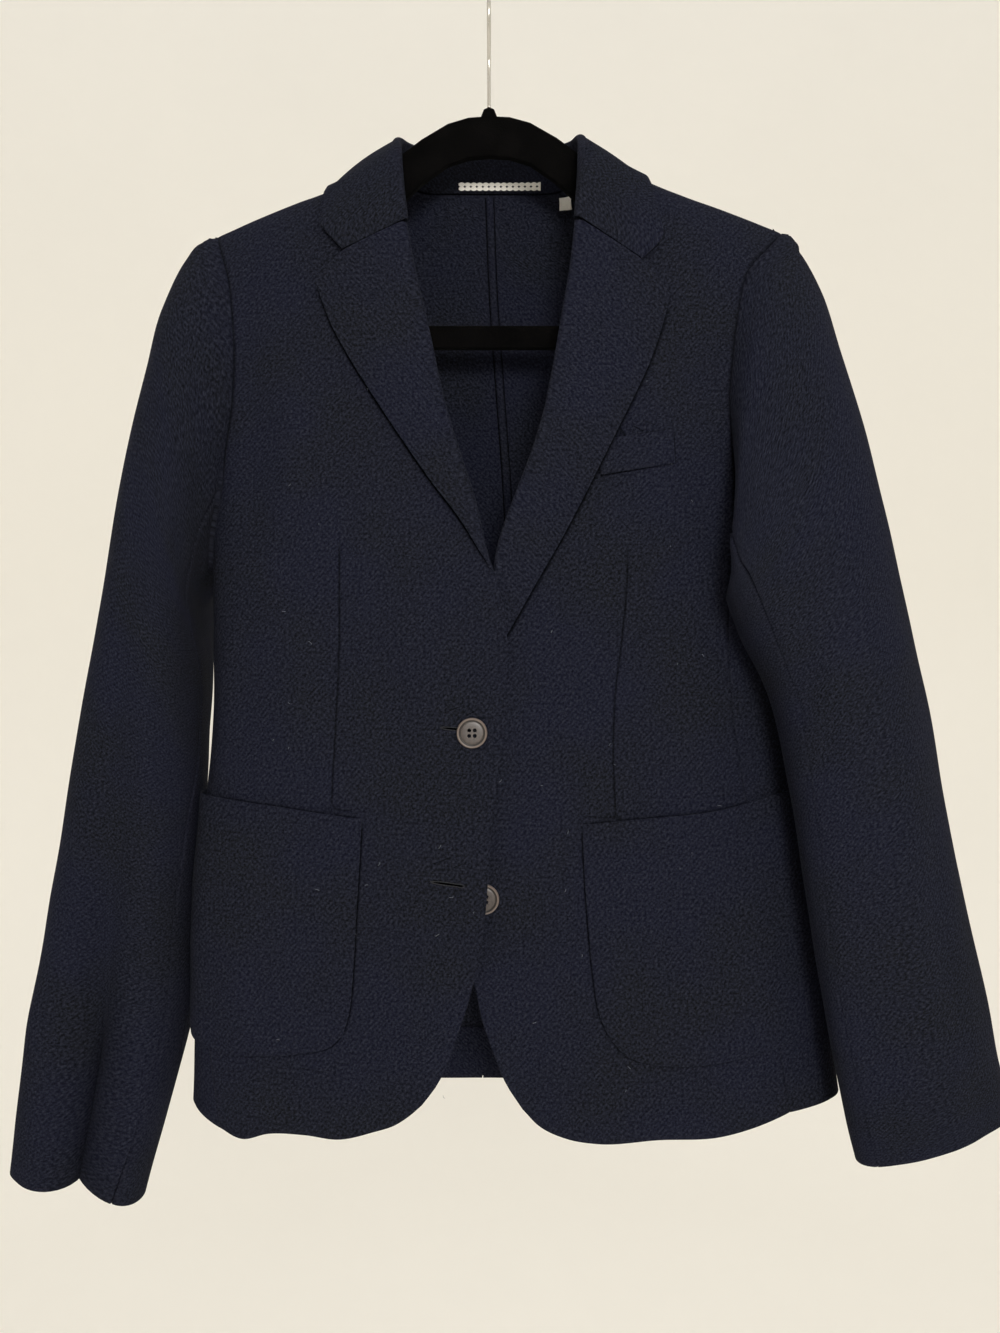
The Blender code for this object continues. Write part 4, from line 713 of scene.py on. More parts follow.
# On a sleeve, points are (degrees round it from the outer edge by way of the front, share along).
RIGHT_SLEEVE_CREASES = rows_of(
    Crease,
    (((54, 0.10), (58, 0.3), (66, 0.55), (74, 0.8), (84, 1.0)), 9, 1.6),
    (((30, 0.05), (26, 0.25), (20, 0.48)), 13, -1.6),
    (((110, 0.42), (134, 0.49)), 9, -2.4),
    (((104, 0.49), (140, 0.56)), 9, -2.0),
    (((112, 0.60), (142, 0.64)), 8, -1.5),
    (((128, 0.10), (118, 0.2), (108, 0.32)), 9, -2.2),
    (((44, 0.78), (36, 0.9), (30, 1.0)), 12, 2.4),
    (((12, 0.7), (6, 0.86), (4, 1.0)), 12, -2.2),
    (((130, 0.8), (136, 0.92), (142, 1.0)), 13, 1.8),
    (((230, 0.10), (222, 0.22), (216, 0.36)), 10, -2.6),
    (((300, 0.06), (296, 0.25), (286, 0.45)), 14, -2.0),
    (((214, 0.42), (244, 0.5)), 10, -2.6),
    (((212, 0.52), (252, 0.57)), 10, -2.2),
    (((268, 0.55), (276, 0.75), (272, 1.0)), 15, 2.0),
    (((322, 0.6), (330, 0.8), (326, 1.0)), 13, -1.8),
)
LEFT_SLEEVE_CREASES = rows_of(
    Crease,
    (((62, 0.06), (70, 0.2), (84, 0.36)), 12, -1.8),
    (((34, 0.2), (30, 0.42), (24, 0.62)), 15, 1.8),
    (((100, 0.30), (112, 0.46), (104, 0.62)), 12, 2.0),
    (((122, 0.40), (146, 0.47)), 9, -2.4),
    (((116, 0.49), (148, 0.54)), 9, -1.8),
    (((60, 0.56), (66, 0.76), (60, 1.0)), 14, -1.8),
    (((26, 0.72), (18, 0.86), (20, 1.0)), 12, 1.8),
    (((130, 0.78), (124, 0.9), (128, 1.0)), 12, -1.8),
    (((132, 0.08), (126, 0.18), (122, 0.28)), 9, -2.0),
    (((232, 0.10), (224, 0.22), (220, 0.34)), 10, -2.4),
    (((300, 0.08), (292, 0.28), (282, 0.48)), 14, -2.0),
    (((212, 0.44), (246, 0.51)), 10, -2.4),
    (((262, 0.56), (270, 0.78), (264, 1.0)), 15, 1.9),
    (((320, 0.62), (326, 0.82), (322, 1.0)), 13, -1.7),
)
SLEEVE_ARC = 0.85  # millimetres round the sleeve to a degree
SLEEVE_LENGTH = 650.0
CREASE_FADE = 0.3  # share of its length over which a crease fades in and out
WAVES, WAVE_SPREAD = 9, (0.7, 2.2)
# The eased fullness below the armhole: its middle and reach as shares of the sleeve, its height
# and how many ripples go round.
EASE_AT, EASE_REACH, EASE_HEIGHT, EASE_RIPPLES = 0.035, 0.025, 0.5, 13
LINE_FADE = 0.06  # share of its length over which a sewn line fades in and out
RIGHT_FRONT_SEED = 3
PRESS_DEPTH, PRESS_WIDTH = 0.5, 3.0  # the dart's hollow, its half width counted in the line's
EDGE = 0.06  # share of a patch over which its folds die away towards a seam

# Lines sewn into the fronts, as (x, z): the darts, which only press a thin groove, darkened with
# painted shade. width is half a line's width, and strength how deep it is and how dark its
# painted shade or shadow.
Line = namedtuple("Line", "points width strength")
DART_RIGHT = ((-96, -372), (-96, -405), (-96, -438), (-98, -490), (-101, -550))
DART_LEFT = ((89, -376), (89.4, -394), (85.6, -438), (81, -477), (80, -515), (82, -556))


def to_path(points, path):
    """Distance, side and share along a bent line for each point of a plane.

    The distance to every straight stretch is worked out at once and the least is taken. The side
    is the sign of the cross product with that stretch.
    """
    path = np.asarray(path, float)
    start, step = path[:-1], np.diff(path, axis=0)
    length = np.linalg.norm(step, axis=1)
    away = points[..., None, :] - start
    share = ((away * step).sum(-1) / length**2).clip(0, 1)
    off = away - share[..., None] * step
    distance = np.linalg.norm(off, axis=-1)
    nearest = distance.argmin(axis=-1)[..., None]
    cross = away[..., 0] * step[:, 1] - away[..., 1] * step[:, 0]
    before = np.concatenate([[0.0], np.cumsum(length)[:-1]])
    along = (before + share * length) / length.sum()

    def pick(values):
        return np.take_along_axis(values, nearest, axis=-1)[..., 0]

    return pick(distance), np.sign(pick(cross)), pick(along)


def relief(points, creases):
    """The height of all creases: each a bell across its line that fades over its ends."""
    total = np.zeros(points.shape[:-1])
    for crease in creases:
        distance, _, along = to_path(points, fine_line(crease.points))
        fade = smooth_step(along / CREASE_FADE)
        if crease.points[-1][1] <= 0.99 * SLEEVE_LENGTH:  # a crease at the cuff runs out open
            fade = fade * smooth_step((1 - along) / CREASE_FADE)
        total += crease.height * np.exp(-((distance / crease.width) ** 2)) * fade
    return total


def fine_line(points):
    return trace(points, even(4 * len(points)))


def undulation(points, seed, size=55.0, height=0.35):
    """A soft waviness of pressed wool: sine waves of unlike lengths and ways, added up.

    The sum is divided by the square root of their number.
    """
    draw = np.random.default_rng(seed)
    way = draw.uniform(0, math.pi, WAVES)
    length = size * draw.uniform(*WAVE_SPREAD, WAVES)
    start = draw.uniform(0, 2 * math.pi, WAVES)
    across = points[..., 0, None] * np.cos(way) + points[..., 1, None] * np.sin(way)
    return height * np.sin(across * 2 * math.pi / length + start).sum(-1) / math.sqrt(WAVES)


def sleeve_plane(along, degrees):
    """A sleeve's points unrolled to millimetres: round it and down it."""
    return np.stack([degrees * SLEEVE_ARC, along * SLEEVE_LENGTH], axis=-1)


def sleeve_relief(creases, along, degrees, seed):
    """A sleeve's folds, its pressed waviness and the eased fullness of its head.

    The fullness is a ripple round the head that dies away down the sleeve.
    """
    places = sleeve_plane(along, degrees)
    scaled = tuple(
        Crease(tuple((d * SLEEVE_ARC, s * SLEEVE_LENGTH) for d, s in c.points), c.width, c.height)
        for c in creases)
    angle = np.radians(degrees)
    ease = np.exp(-(((along - EASE_AT) / EASE_REACH) ** 2)) * np.cos(angle).clip(0) ** 0.5
    ripple = EASE_HEIGHT * ease * np.sin(angle * EASE_RIPPLES + 2 * np.sin(angle * 3))
    return relief(places, scaled) + undulation(places, seed) + ripple


def sleeve_points(table, legs, side, armpit, along, degrees, fold, creases, seed):
    """A sleeve's surface: rings through its outer, front, inner and back rails.

    Each quarter of a ring is a squared ellipse about the ring's middle between two rails. The
    first rings blend into the armhole. Folds move points towards the ring's middle or away.
    """
    shares = [row.along for row in table]

    def rail(*names):
        return smooth(shares, [[getattr(r, n) for n in names] for r in table], along)

    outer, inner = rail("outer_x", "outer_y", "outer_z"), rail("inner_x", "inner_y", "inner_z")
    level = (outer[..., 2:] + inner[..., 2:]) / 2
    front = np.concatenate([rail("front_x", "front_y"), level], axis=-1)
    back = np.concatenate([rail("back_x", "back_y"), level], axis=-1)
    hub = (outer + inner + front + back) / 4

    def ring(hub, outer, front, inner, back, angle):
        c, s = np.cos(angle)[..., None], np.sin(angle)[..., None]
        to_side = np.where(c > 0, outer - hub, inner - hub) * np.abs(c) ** SLEEVE_SQUARE
        to_end = np.where(s > 0, front - hub, back - hub) * np.abs(s) ** SLEEVE_SQUARE
        return hub + to_side + to_end

    angle = np.radians(degrees)
    points = ring(hub, outer, front, inner, back, angle)
    trough = -sleeve_relief(creases, along, degrees % 360, seed) * smooth_step(along / 0.05)
    if fold:
        turn = smooth([f.along for f in fold], [f.degrees for f in fold], along)
        deep = smooth([f.along for f in fold], [f.depth for f in fold], along)
        trough = trough + deep * np.exp(-(((degrees % 360 - turn) / LONG_FOLD_WIDTH) ** 2))
    points = points + unit(hub - points) * trough[..., None]
    first = [v[:1] for v in (hub, outer, front, inner, back)]
    start = armhole_start(legs, side, armpit, angle)
    begin = underarm(angle) * ARMPIT_LIFT / SLEEVE_CLEARANCE
    lift = begin + (1 - begin) * np.sin(np.clip(along / UNDERARM_TURN, 0, 1) * math.pi / 2)
    fade = np.clip(1 - along / HEAD_FADE, 0, 1)[..., None] ** 2
    head = ring(*[np.broadcast_to(v, hub.shape) for v in first], angle)
    points = points + (start - head) * fade
    return clear_of_body(points, SLEEVE_CLEARANCE * lift)


# ---------------------------------------------------------------------------------------------
# Colour and material
# ---------------------------------------------------------------------------------------------


def linear(code):
    """An sRGB hex colour as linear red, green, blue and 1."""
    parts = np.array([int(code[i:i + 2], 16) for i in (0, 2, 4)]) / 255
    line = np.where(parts <= 0.04045, parts / 12.92, ((parts + 0.055) / 1.055) ** 2.4)
    return (*(float(v) for v in line), 1.0)


def node(tree, kind, settings=None, inputs=None):
    """Adds a node with its settings; an input takes a value or a socket."""
    made = tree.nodes.new(kind)
    for name, value in (settings or {}).items():
        setattr(made, name, value)
    for name, value in (inputs or {}).items():
        if isinstance(value, bpy.types.NodeSocket):
            tree.links.new(value, made.inputs[name])
        else:
            made.inputs[name].default_value = value
    return made


def maths(tree, operation, *values, clamp=False):
    """One step of arithmetic."""
    settings = {"operation": operation, "use_clamp": clamp}
    return node(tree, "ShaderNodeMath", settings, dict(enumerate(values))).outputs[0]


def remap(tree, value, low, high, to_low=0.0, to_high=1.0):
    """A value brought from low and high to two others, and held there."""
    inputs = {"From Min": low, "From Max": high, "To Min": to_low, "To Max": to_high}
    return node(tree, "ShaderNodeMapRange", {}, {"Value": value, **inputs}).outputs[0]


def noise(tree, vector, scale, detail=2.0, roughness=0.5, distortion=0.0, flat=False):
    """Noise whose scale is one over the size of its blobs, in the vector's unit."""
    settings = {"noise_dimensions": "2D" if flat else "3D"}
    inputs = {"Scale": scale, "Detail": detail, "Roughness": roughness, "Distortion": distortion}
    return node(tree, "ShaderNodeTexNoise", settings, {"Vector": vector, **inputs}).outputs[0]


def mix(tree, share, one, two, way="MIX"):
    """Two colours mixed; sockets 0, 6 and 7 take the share and the colours."""
    settings = {"data_type": "RGBA", "blend_type": way}
    return node(tree, "ShaderNodeMix", settings, {0: share, 6: one, 7: two}).outputs[2]


def toned(tree, colour, tone):
    return mix(tree, 1.0, colour, tone, "MULTIPLY")


def mapping(tree, vector, scale, turn=0.0):
    inputs = {"Vector": vector, "Rotation": (0, 0, turn), "Scale": scale}
    return node(tree, "ShaderNodeMapping", {}, inputs).outputs[0]


def attribute(tree, name, output="Vector"):
    return node(tree, "ShaderNodeAttribute", {"attribute_name": name}).outputs[output]


def object_place(tree):
    return node(tree, "ShaderNodeTexCoord").outputs["Object"]


def split(tree, vector):
    """A vector's first two numbers."""
    return node(tree, "ShaderNodeSeparateXYZ", {}, {0: vector}).outputs[:2]


def bump(tree, height, distance, strength):
    """A normal bent by a height, whose full range is that distance in millimetres."""
    inputs = {"Height": height, "Distance": distance * MM, "Strength": strength}
    return node(tree, "ShaderNodeBump", {}, inputs).outputs[0]


def new_material(name):
    """An empty material of that name and the tree to fill."""
    made = bpy.data.materials.new(name)
    made.use_nodes = True
    made.node_tree.nodes.clear()
    return made, made.node_tree


def surface(tree, colour, roughness, normal=None, more=None):
    """Ends a tree with its shader and output."""
    inputs = {"Base Color": colour, "Roughness": roughness, **(more or {})}
    if normal:
        inputs["Normal"] = normal
    shader = node(tree, "ShaderNodeBsdfPrincipled", {}, inputs)
    node(tree, "ShaderNodeOutputMaterial", {}, {"Surface": shader.outputs[0]})


def wool_material(cloth):
    """Brushed wool twill, woven, milled and raised.

    To the eye: fine ribs that climb to the right, broken by the raised nap, a heathered mix of
    near-black blue yarns with a few pale fibres, no gloss, and a faint bloom at grazing angles.
    The ribs follow the attribute "grain", millimetres across and up the cloth, and the pressed
    seam lines follow "seam", the signed distance to the line and its strength. Along these lines
    the colour is darkened: painted shade in the grooves of darts, seams and buttonholes, and
    painted shadow along the edges of the lapels, the pockets and the welt.
    """
    made, tree = new_material("Wool twill, brushed")
    grain = attribute(tree, "grain")
    # Ribs: a slow drift of the phase bends them a little, as handled cloth does.
    pitch = cloth.rib_pitch * 1000
    turned_grain = mapping(tree, grain, (1, 1, 1), math.radians(-cloth.rib_angle))
    drift = noise(tree, grain, 0.09, flat=True)
    phase = maths(tree, "MULTIPLY_ADD", drift, 2.4, split(tree, turned_grain)[1])
    wave = maths(tree, "SINE", maths(tree, "MULTIPLY", phase, 2 * math.pi / pitch))
    # Floats: each rib is a row of short yarns, longer than they are wide.
    floats = mapping(tree, turned_grain, (1 / 2.6, 1 / (0.55 * pitch), 1))
    yarn = noise(tree, floats, 1.0, 3.0, 0.65, flat=True)
    # Blotches 60 to 120 mm wide, where the nap lies unlike, and flecks about 1.5 mm long.
    blotch = noise(tree, grain, 0.011, 2.5, 0.55)
    body = mix(tree, remap(tree, blotch, 0.40, 0.62), cloth.yarn_blue, cloth.yarn_dark)
    heather = noise(tree, grain, 0.55, 4.0, 0.75)
    flecked = mix(tree, remap(tree, heather, 0.42, 0.64), body, cloth.yarn_light)
    # Pale kemp fibres: rare points of the finest noise.
    kemp = noise(tree, grain, 0.42, 5.0, 0.9, 0.6)
    pale = mix(tree, remap(tree, kemp, 0.70, 0.78), flecked, cloth.fibre_pale)
    # The ribs' furrows are darker and their tops a little lighter: painted shade where light doesn't
    # reach between the yarns, and painted light on the tops.
    rib_profile = maths(tree, "MULTIPLY", maths(tree, "MULTIPLY_ADD", wave, 0.5, 0.5), yarn)
    shade = remap(tree, rib_profile, 0.0, 0.6, cloth.furrow_shade, 1.15)
    # A marked line: a groove as wide as a stitch pulls it, a bell of the distance, darkened as
    # painted shade in the groove or painted shadow along an edge.
    away, strength = split(tree, attribute(tree, "seam"))
    fall = maths(tree, "MULTIPLY", maths(tree, "MULTIPLY", away, away), -1.0)
    groove = maths(tree, "MULTIPLY", maths(tree, "EXPONENT", fall), strength)
    # Painted shade and shadow: the colour darkened along each marked line.
    dark = maths(tree, "MULTIPLY_ADD", groove, -0.72, 1.0, clamp=True)
    colour = toned(tree, pale, maths(tree, "MULTIPLY", shade, dark))
    # Height, in millimetres: ribs, floats, nap, and the groove.
    nap = maths(tree, "MULTIPLY_ADD", heather, 0.42, maths(tree, "MULTIPLY", rib_profile, 0.13))
    height = maths(tree, "MULTIPLY_ADD", groove, -0.7, nap)
    surface(tree, colour, 0.94, bump(tree, height, 1.0, 0.8), {
        "Specular IOR Level": 0.03, "Sheen Weight": cloth.bloom, "Sheen Roughness": 0.6,
        "Sheen Tint": cloth.bloom_tint})
    return made


def tape_material(trim):
    """Looped cotton braid.

    To the eye: two rows of plump white loops side by side, scalloped along both edges, with a
    small dark opening between every four of them. The loops follow "grain", in millimetres along
    the braid and up from its middle. A loop's outline is the absolute sine of the length along.
    """
    made, tree = new_material("Cotton braid, looped")
    grain = attribute(tree, "grain")
    along, up = split(tree, grain)
    wave = maths(tree, "SINE", maths(tree, "MULTIPLY", along, math.pi / (trim.loop_pitch * 1000)))
    loop, up = maths(tree, "ABSOLUTE", wave), maths(tree, "ABSOLUTE", up)
    # The openings in the middle, and the scallops past the edges, are the cloth behind.
    opening = remap(tree, maths(tree, "MULTIPLY_ADD", loop, 1.25, up), 0.72, 1.05)
    scallop = remap(tree, maths(tree, "MULTIPLY_ADD", loop, -0.75, up), 2.05, 2.3, 1.0, 0.0)
    white = maths(tree, "MULTIPLY", opening, scallop)
    thread = remap(tree, noise(tree, grain, 2.4, flat=True), 0.3, 0.7, 0.8, 1.05)
    colour = mix(tree, white, trim.tape_dark, toned(tree, trim.tape_light, thread))
    plump = bump(tree, maths(tree, "MULTIPLY", loop, white), 0.6, 0.6)
    surface(tree, colour, 0.85, plump, {"Specular IOR Level": 0.2})
    return made


def label_material(trim):
    """Bare satin tape: close fine threads across it, an off-white that a soft sheen crosses."""
    made, tree = new_material("Satin label tape")
    long = mapping(tree, attribute(tree, "grain"), (0.5, 5.0, 1))
    thread = noise(tree, long, 1.0, flat=True)
    colour = toned(tree, trim.label_white, remap(tree, thread, 0.3, 0.7, 0.86, 1.0))
    surface(tree, colour, 0.55, bump(tree, thread, 0.1, 0.5), {"Sheen Weight": 0.3})
    return made


def thread_material(cloth):
    """Spun polyester sewing thread: near-black navy, with a faint gloss on its twist."""
    made, tree = new_material("Sewing thread, polyester")
    twist = noise(tree, object_place(tree), 1800.0, 1.0)
    colour = toned(tree, cloth.thread_colour, remap(tree, twist, 0.3, 0.7, 0.6, 1.3))
    surface(tree, colour, 0.6, None, {"Specular IOR Level": 0.35})
    return made


def resin_material(trim):
    """Cast polyester resin, turned and tumbled.

    To the eye: a mottled grey-brown face with a paler polished rim, and painted shade darkening
    the groove that the tool turned. The rim and groove follow the attribute "radius", in millimetres.
    """
    made, tree = new_material("Polyester resin, turned")
    swirl = noise(tree, object_place(tree), 420.0, 4.0, 0.6, 1.2)
    face = mix(tree, swirl, trim.resin_dark, trim.resin_light)
    radius = attribute(tree, "radius", "Fac")
    rimmed = mix(tree, remap(tree, radius, 8.1, 8.9), face, trim.resin_rim)
    # Painted shade in the turned groove: the colour darkened about 7.7 mm from the middle.
    from_groove = maths(tree, "ABSOLUTE", maths(tree, "SUBTRACT", radius, 7.7))
    colour = toned(tree, rimmed, remap(tree, from_groove, 0.25, 0.7, 0.35, 1.0))
    rough = remap(tree, swirl, 0.3, 0.7, 0.32, 0.46)
    surface(tree, colour, rough, bump(tree, swirl, 0.05, 0.4), {"IOR": 1.55})
    return made


def velvet_material(hanger):
    """Nylon flock on moulded plastic.

    To the eye: the deepest black, with no gloss face on and a soft grey bloom along the edges,
    and a fine pile that lies in unlike patches where hands have brushed it.
    """
    made, tree = new_material("Nylon flock, black")
    place = object_place(tree)
    pile = noise(tree, place, 900.0, 3.0, 0.7)
    brushed = remap(tree, maths(tree, "MULTIPLY", pile, noise(tree, place, 45.0)), 0.12, 0.40)
    colour = mix(tree, brushed, hanger.flock_dark, hanger.flock_light)
    surface(tree, colour, 0.95, bump(tree, pile, 0.3, 0.8), {
        "Specular IOR Level": 0.03, "Sheen Weight": 0.04, "Sheen Roughness": 0.35})
    return made


def steel_material(hanger):
    """Bright nickel-plated steel wire, drawn: mirror-like, with fine draw marks."""
    made, tree = new_material("Steel wire, nickel plated")
    marks = noise(tree, object_place(tree), 700.0)
    rough = remap(tree, marks, 0.3, 0.7, 0.14, 0.28)
    surface(tree, hanger.wire_colour, rough, bump(tree, marks, 0.02, 0.3), {"Metallic": 1.0})
    return made


def lint_material(cloth):
    """Loose fibres caught on the nap: pale grey and matt."""
    made, tree = new_material("Loose pale fibres")
    shade = noise(tree, object_place(tree), 60.0)
    surface(tree, mix(tree, shade, cloth.lint_dark, cloth.lint_light), 0.8)
    return made


def backdrop_material(stage):
    """Painted plaster: an even warm off-white, with the faint mottle of a roller."""
    made, tree = new_material("Plaster, matt paint")
    mottle = remap(tree, noise(tree, object_place(tree), 1.3, 3.0), 0.3, 0.7, 0.985, 1.0)
    surface(tree, toned(tree, stage.wall_colour, mottle), 0.9, None, {"Specular IOR Level": 0.1})
    return made


def finish_of(make, settings):
    """The material that this function makes, made once."""
    key = make.__name__
    for found in bpy.data.materials:
        if found.get("finish") == key:
            return found
    made = make(settings)
    made["finish"] = key
    return made


# ---------------------------------------------------------------------------------------------
# Meshes from grids
# ---------------------------------------------------------------------------------------------


def grid_faces(rows, columns, around=False, flip=False, looped=False):
    """The four-sided faces of a grid, whose columns may close into a tube, and rows into a ring."""
    index = np.arange(rows * columns).reshape(rows, columns)
    if looped:
        index = np.concatenate([index, index[:1]])
    if around:
        index = np.concatenate([index, index[:, :1]], axis=1)
    faces = np.stack([index[:-1, :-1], index[:-1, 1:], index[1:, 1:], index[1:, :-1]], axis=-1)
    faces = faces.reshape(-1, 4)
    return faces[:, ::-1] if flip else faces


def mesh_of(name, points, faces, finish):
    """A smooth-shaded mesh object at the origin, from points in millimetres."""
    mesh = bpy.data.meshes.new(name)
    places = np.asarray(points).reshape(-1, 3) * MM
    mesh.from_pydata(places.tolist(), [], np.asarray(faces).tolist())
    mesh.materials.append(finish)
    mesh.shade_smooth()
    made = bpy.data.objects.new(name, mesh)
    bpy.context.scene.collection.objects.link(made)
    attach(made, "root")
    return made


def keep(made, name, values):
    """Stores values at the mesh's points: three columns as a vector, one as a number."""
    values = np.asarray(values, float)
    kind = "FLOAT_VECTOR" if values.shape[-1] == 3 and values.ndim > 1 else "FLOAT"
    field = "vector" if kind == "FLOAT_VECTOR" else "value"
    layer = made.data.attributes.new(name, kind, "POINT")
    layer.data.foreach_set(field, values.ravel())


ALLOWANCE = ((0.4, 1.3), (1.6, 2.2), (7.0, 2.3))  # out past the seam, and down under its neighbour


def with_allowance(grid, grain, seam, axis, last, hub):
    """A piece with its seam allowance turned under the neighbour along one of its edges.

    Each added line is the edge moved on across the seam and towards the hub's side by a pair of
    ALLOWANCE. The way across is the edge less the line next to it, and the way down is the cross
    product of the grid's two directions, signed towards the hub.
    """
    face = unit(np.cross(np.gradient(grid, axis=1), np.gradient(grid, axis=0)))
    face = face * np.sign((face * (grid - hub)).sum())
    layers = [np.moveaxis(v, axis, 0) for v in (grid, face, grain, seam)]
    if last:
        layers = [v[::-1] for v in layers]
    points, face, grain, seam = layers
    across = unit(points[0] - points[1])
    added = [points[0] + across * far - face[0] * down for far, down in ALLOWANCE[::-1]]
    points = np.concatenate([np.stack(added), points])
    extra = len(ALLOWANCE)
    grain = np.concatenate([np.repeat(grain[:1], extra, axis=0), grain])
    seam = np.concatenate([np.repeat(seam[:1], extra, axis=0), seam])
    layers = [v[::-1] if last else v for v in (points, grain, seam)]
    return [np.moveaxis(v, 0, axis) for v in layers]


NO_SEAM = (20.0, 0.0)  # far from any sewn line, at no strength


def cloth_piece(name, grid, grain, wool, node_name, thickness=CLOTH, seam=None,
                flip=False, rim=0.45, allow=(), hub=None):
    """One cut piece: a grid of points, a wall of the cloth's thickness, and a softened rim.

    allow lists the edges whose seam allowance shows in a seam, as the axis and whether it is
    the last line.
    """
    # seam carries each point's distance to a marked line and its strength, which the wool turns into
    # a groove and painted shade or painted shadow.
    if seam is None:
        seam = np.broadcast_to(NO_SEAM, (*grid.shape[:2], 2))
    if hub is None:
        hub = np.stack([width(grid[..., 2])[0], 0 * grid[..., 2], grid[..., 2]], axis=-1)
    whole = grid
    for axis, last in allow:
        middle = hub
        if hub.shape != whole.shape:
            middle = whole * [0, 0, 1] + hub.reshape(-1, 3).mean(0) * [1, 1, 0]
        whole, grain, seam = with_allowance(whole, grain, seam, axis, last, middle)
    faces = grid_faces(*whole.shape[:2], flip=flip)
    made = mesh_of(name, whole, faces, wool)
    for key, values in (("grain", grain), ("seam", seam)):
        keep(made, key, np.concatenate([values, 0 * values[..., :1]], axis=-1).reshape(-1, 3))
    merge_doubles(made.data, closed=False)
    wall = made.modifiers.new("wall", "SOLIDIFY")
    wall.thickness = thickness * MM
    wall.offset = 0
    if rim:
        soft = made.modifiers.new("rim", "BEVEL")
        soft.width = rim * MM
        soft.segments = 2
        soft.limit_method = "ANGLE"
        soft.use_clamp_overlap = True
        soft.angle_limit = math.radians(80)
    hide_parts(node_name)
    return made


def body_grain(patch, folded=False):
    """Millimetres across and up a body patch: the length round the body from the front, and z.

    The length round is the sum of short chords of the torso from turn 0 to the point.
    """
    share = even(25)
    turns = patch[..., 0, None] * share
    line = torso(turns, np.broadcast_to(patch[..., 1, None], turns.shape))
    arc = np.linalg.norm(np.diff(line, axis=-2), axis=-1).sum(-1) * np.sign(patch[..., 0])
    return np.stack([-arc if folded else arc, patch[..., 1]], axis=-1)


def shaded_line_marks(places, lines, reach=14.0):
    """For each point, the signed distance to the nearest line, in its widths, and its strength: how
    deep its groove and how dark its painted shade or shadow.
    """
    marks = np.full((*places.shape[:-1], 2), (reach, 0.0))
    for line in lines:
        distance, side, along = to_path(places, fine_line(line.points))
        distance = distance / line.width
        signed = np.clip(distance * np.where(side == 0, 1, side), -reach, reach)
        ends = smooth_step(along / LINE_FADE) * smooth_step((1 - along) / LINE_FADE)
        strength = ends * line.strength
        closer = distance < np.abs(marks[..., 0])
        marks[closer] = np.stack([signed, strength], axis=-1)[closer]
    return marks


# ---------------------------------------------------------------------------------------------
# Settings
# ---------------------------------------------------------------------------------------------


def colour_of(name, description, code):
    return bpy.props.FloatVectorProperty(
        name=name, description=description, default=linear(code), size=4, subtype="COLOR",
        min=0.0, max=1.0)


def number_of(name, description, default, **kind):
    return bpy.props.FloatProperty(name=name, description=description, default=default, **kind)


class BlazerCloth(bpy.types.PropertyGroup):
    """The wool: its weave, its yarns and how deep its folds are."""

    rib_pitch: number_of("Rib Pitch", "Distance from one twill rib to the next", 0.0023,
                         unit="LENGTH")
    rib_angle: number_of("Rib Angle", "Degrees by which the ribs climb to the right", 48.0)
    # Painted shade: the share of the colour left in the furrows between the ribs.
    furrow_shade: number_of("Furrow", "Brightness left between two ribs", 0.8, min=0.0, max=1.0)
    fold_scale: number_of("Fold Scale", "Multiplies the soft folds of the fronts and back", 1.0)
    bloom: number_of("Bloom", "Strength of the nap's sheen", 0.015, min=0.0, max=1.0)
    bloom_tint: colour_of("Bloom Tint", "Colour of the nap's sheen", "9aa0b4")
    yarn_blue: colour_of("Blue Yarn", "The navy yarn", "11121e")
    yarn_dark: colour_of("Dark Yarn", "The near-black yarn", "101115")
    yarn_light: colour_of("Light Yarn", "The heather fibres", "272934")
    fibre_pale: colour_of("Pale Fibre", "Rare undyed fibres", "4c505a")
    thread_colour: colour_of("Thread", "Sewing thread", "101118")
    lint_dark: colour_of("Lint Shade", "Darker loose fibres", "4a4e57")
    lint_light: colour_of("Lint Light", "Lighter loose fibres", "868b94")


class BlazerTrims(bpy.types.PropertyGroup):
    """Buttons, tape and label."""

    loop_pitch: number_of("Loop Pitch", "Length of one of the braid's loops", 0.0043,
                          unit="LENGTH")
    tape_dark: colour_of("Behind Braid", "The wool seen between the braid's loops", "181a24")
    tape_light: colour_of("Braid", "The braid's white cotton", "f0ece4")
    label_white: colour_of("Label", "The bare label tape", "e4e0d8")
    resin_dark: colour_of("Resin Dark", "Darker swirls of the buttons", "2e2826")
    resin_light: colour_of("Resin Light", "Lighter swirls of the buttons", "4c433f")
    resin_rim: colour_of("Resin Rim", "The polished rim", "6b5f58")


class BlazerHanger(bpy.types.PropertyGroup):
    """The flocked hanger and its wire."""

    flock_dark: colour_of("Flock", "The pile face on", "030303")
    flock_light: colour_of("Flock Light", "The pile where it is brushed up", "0a0909")
    wire_colour: colour_of("Wire", "Nickel plating", "c9c6c0")


class BlazerStage(bpy.types.PropertyGroup):
    """Backdrop, lights and camera."""

    wall_colour: colour_of("Wall", "The backdrop", "f9f6ef")
    key_power: number_of("Key", "Power of the large soft light", 30.0, subtype="POWER")
    fill_power: number_of("Fill", "Power of the fill and back lights", 1.5, subtype="POWER")
    sky_strength: number_of("Sky", "Strength of the even light from all round", 0.9)
    floor_drop: number_of("Floor", "Height of the floor below the rail", 1.75, unit="LENGTH")
    lens: number_of("Lens", "Focal length on a 36 mm high frame, in millimetres", 27.0)


def wool_of(context):
    return finish_of(wool_material, context.scene.blazer_cloth)
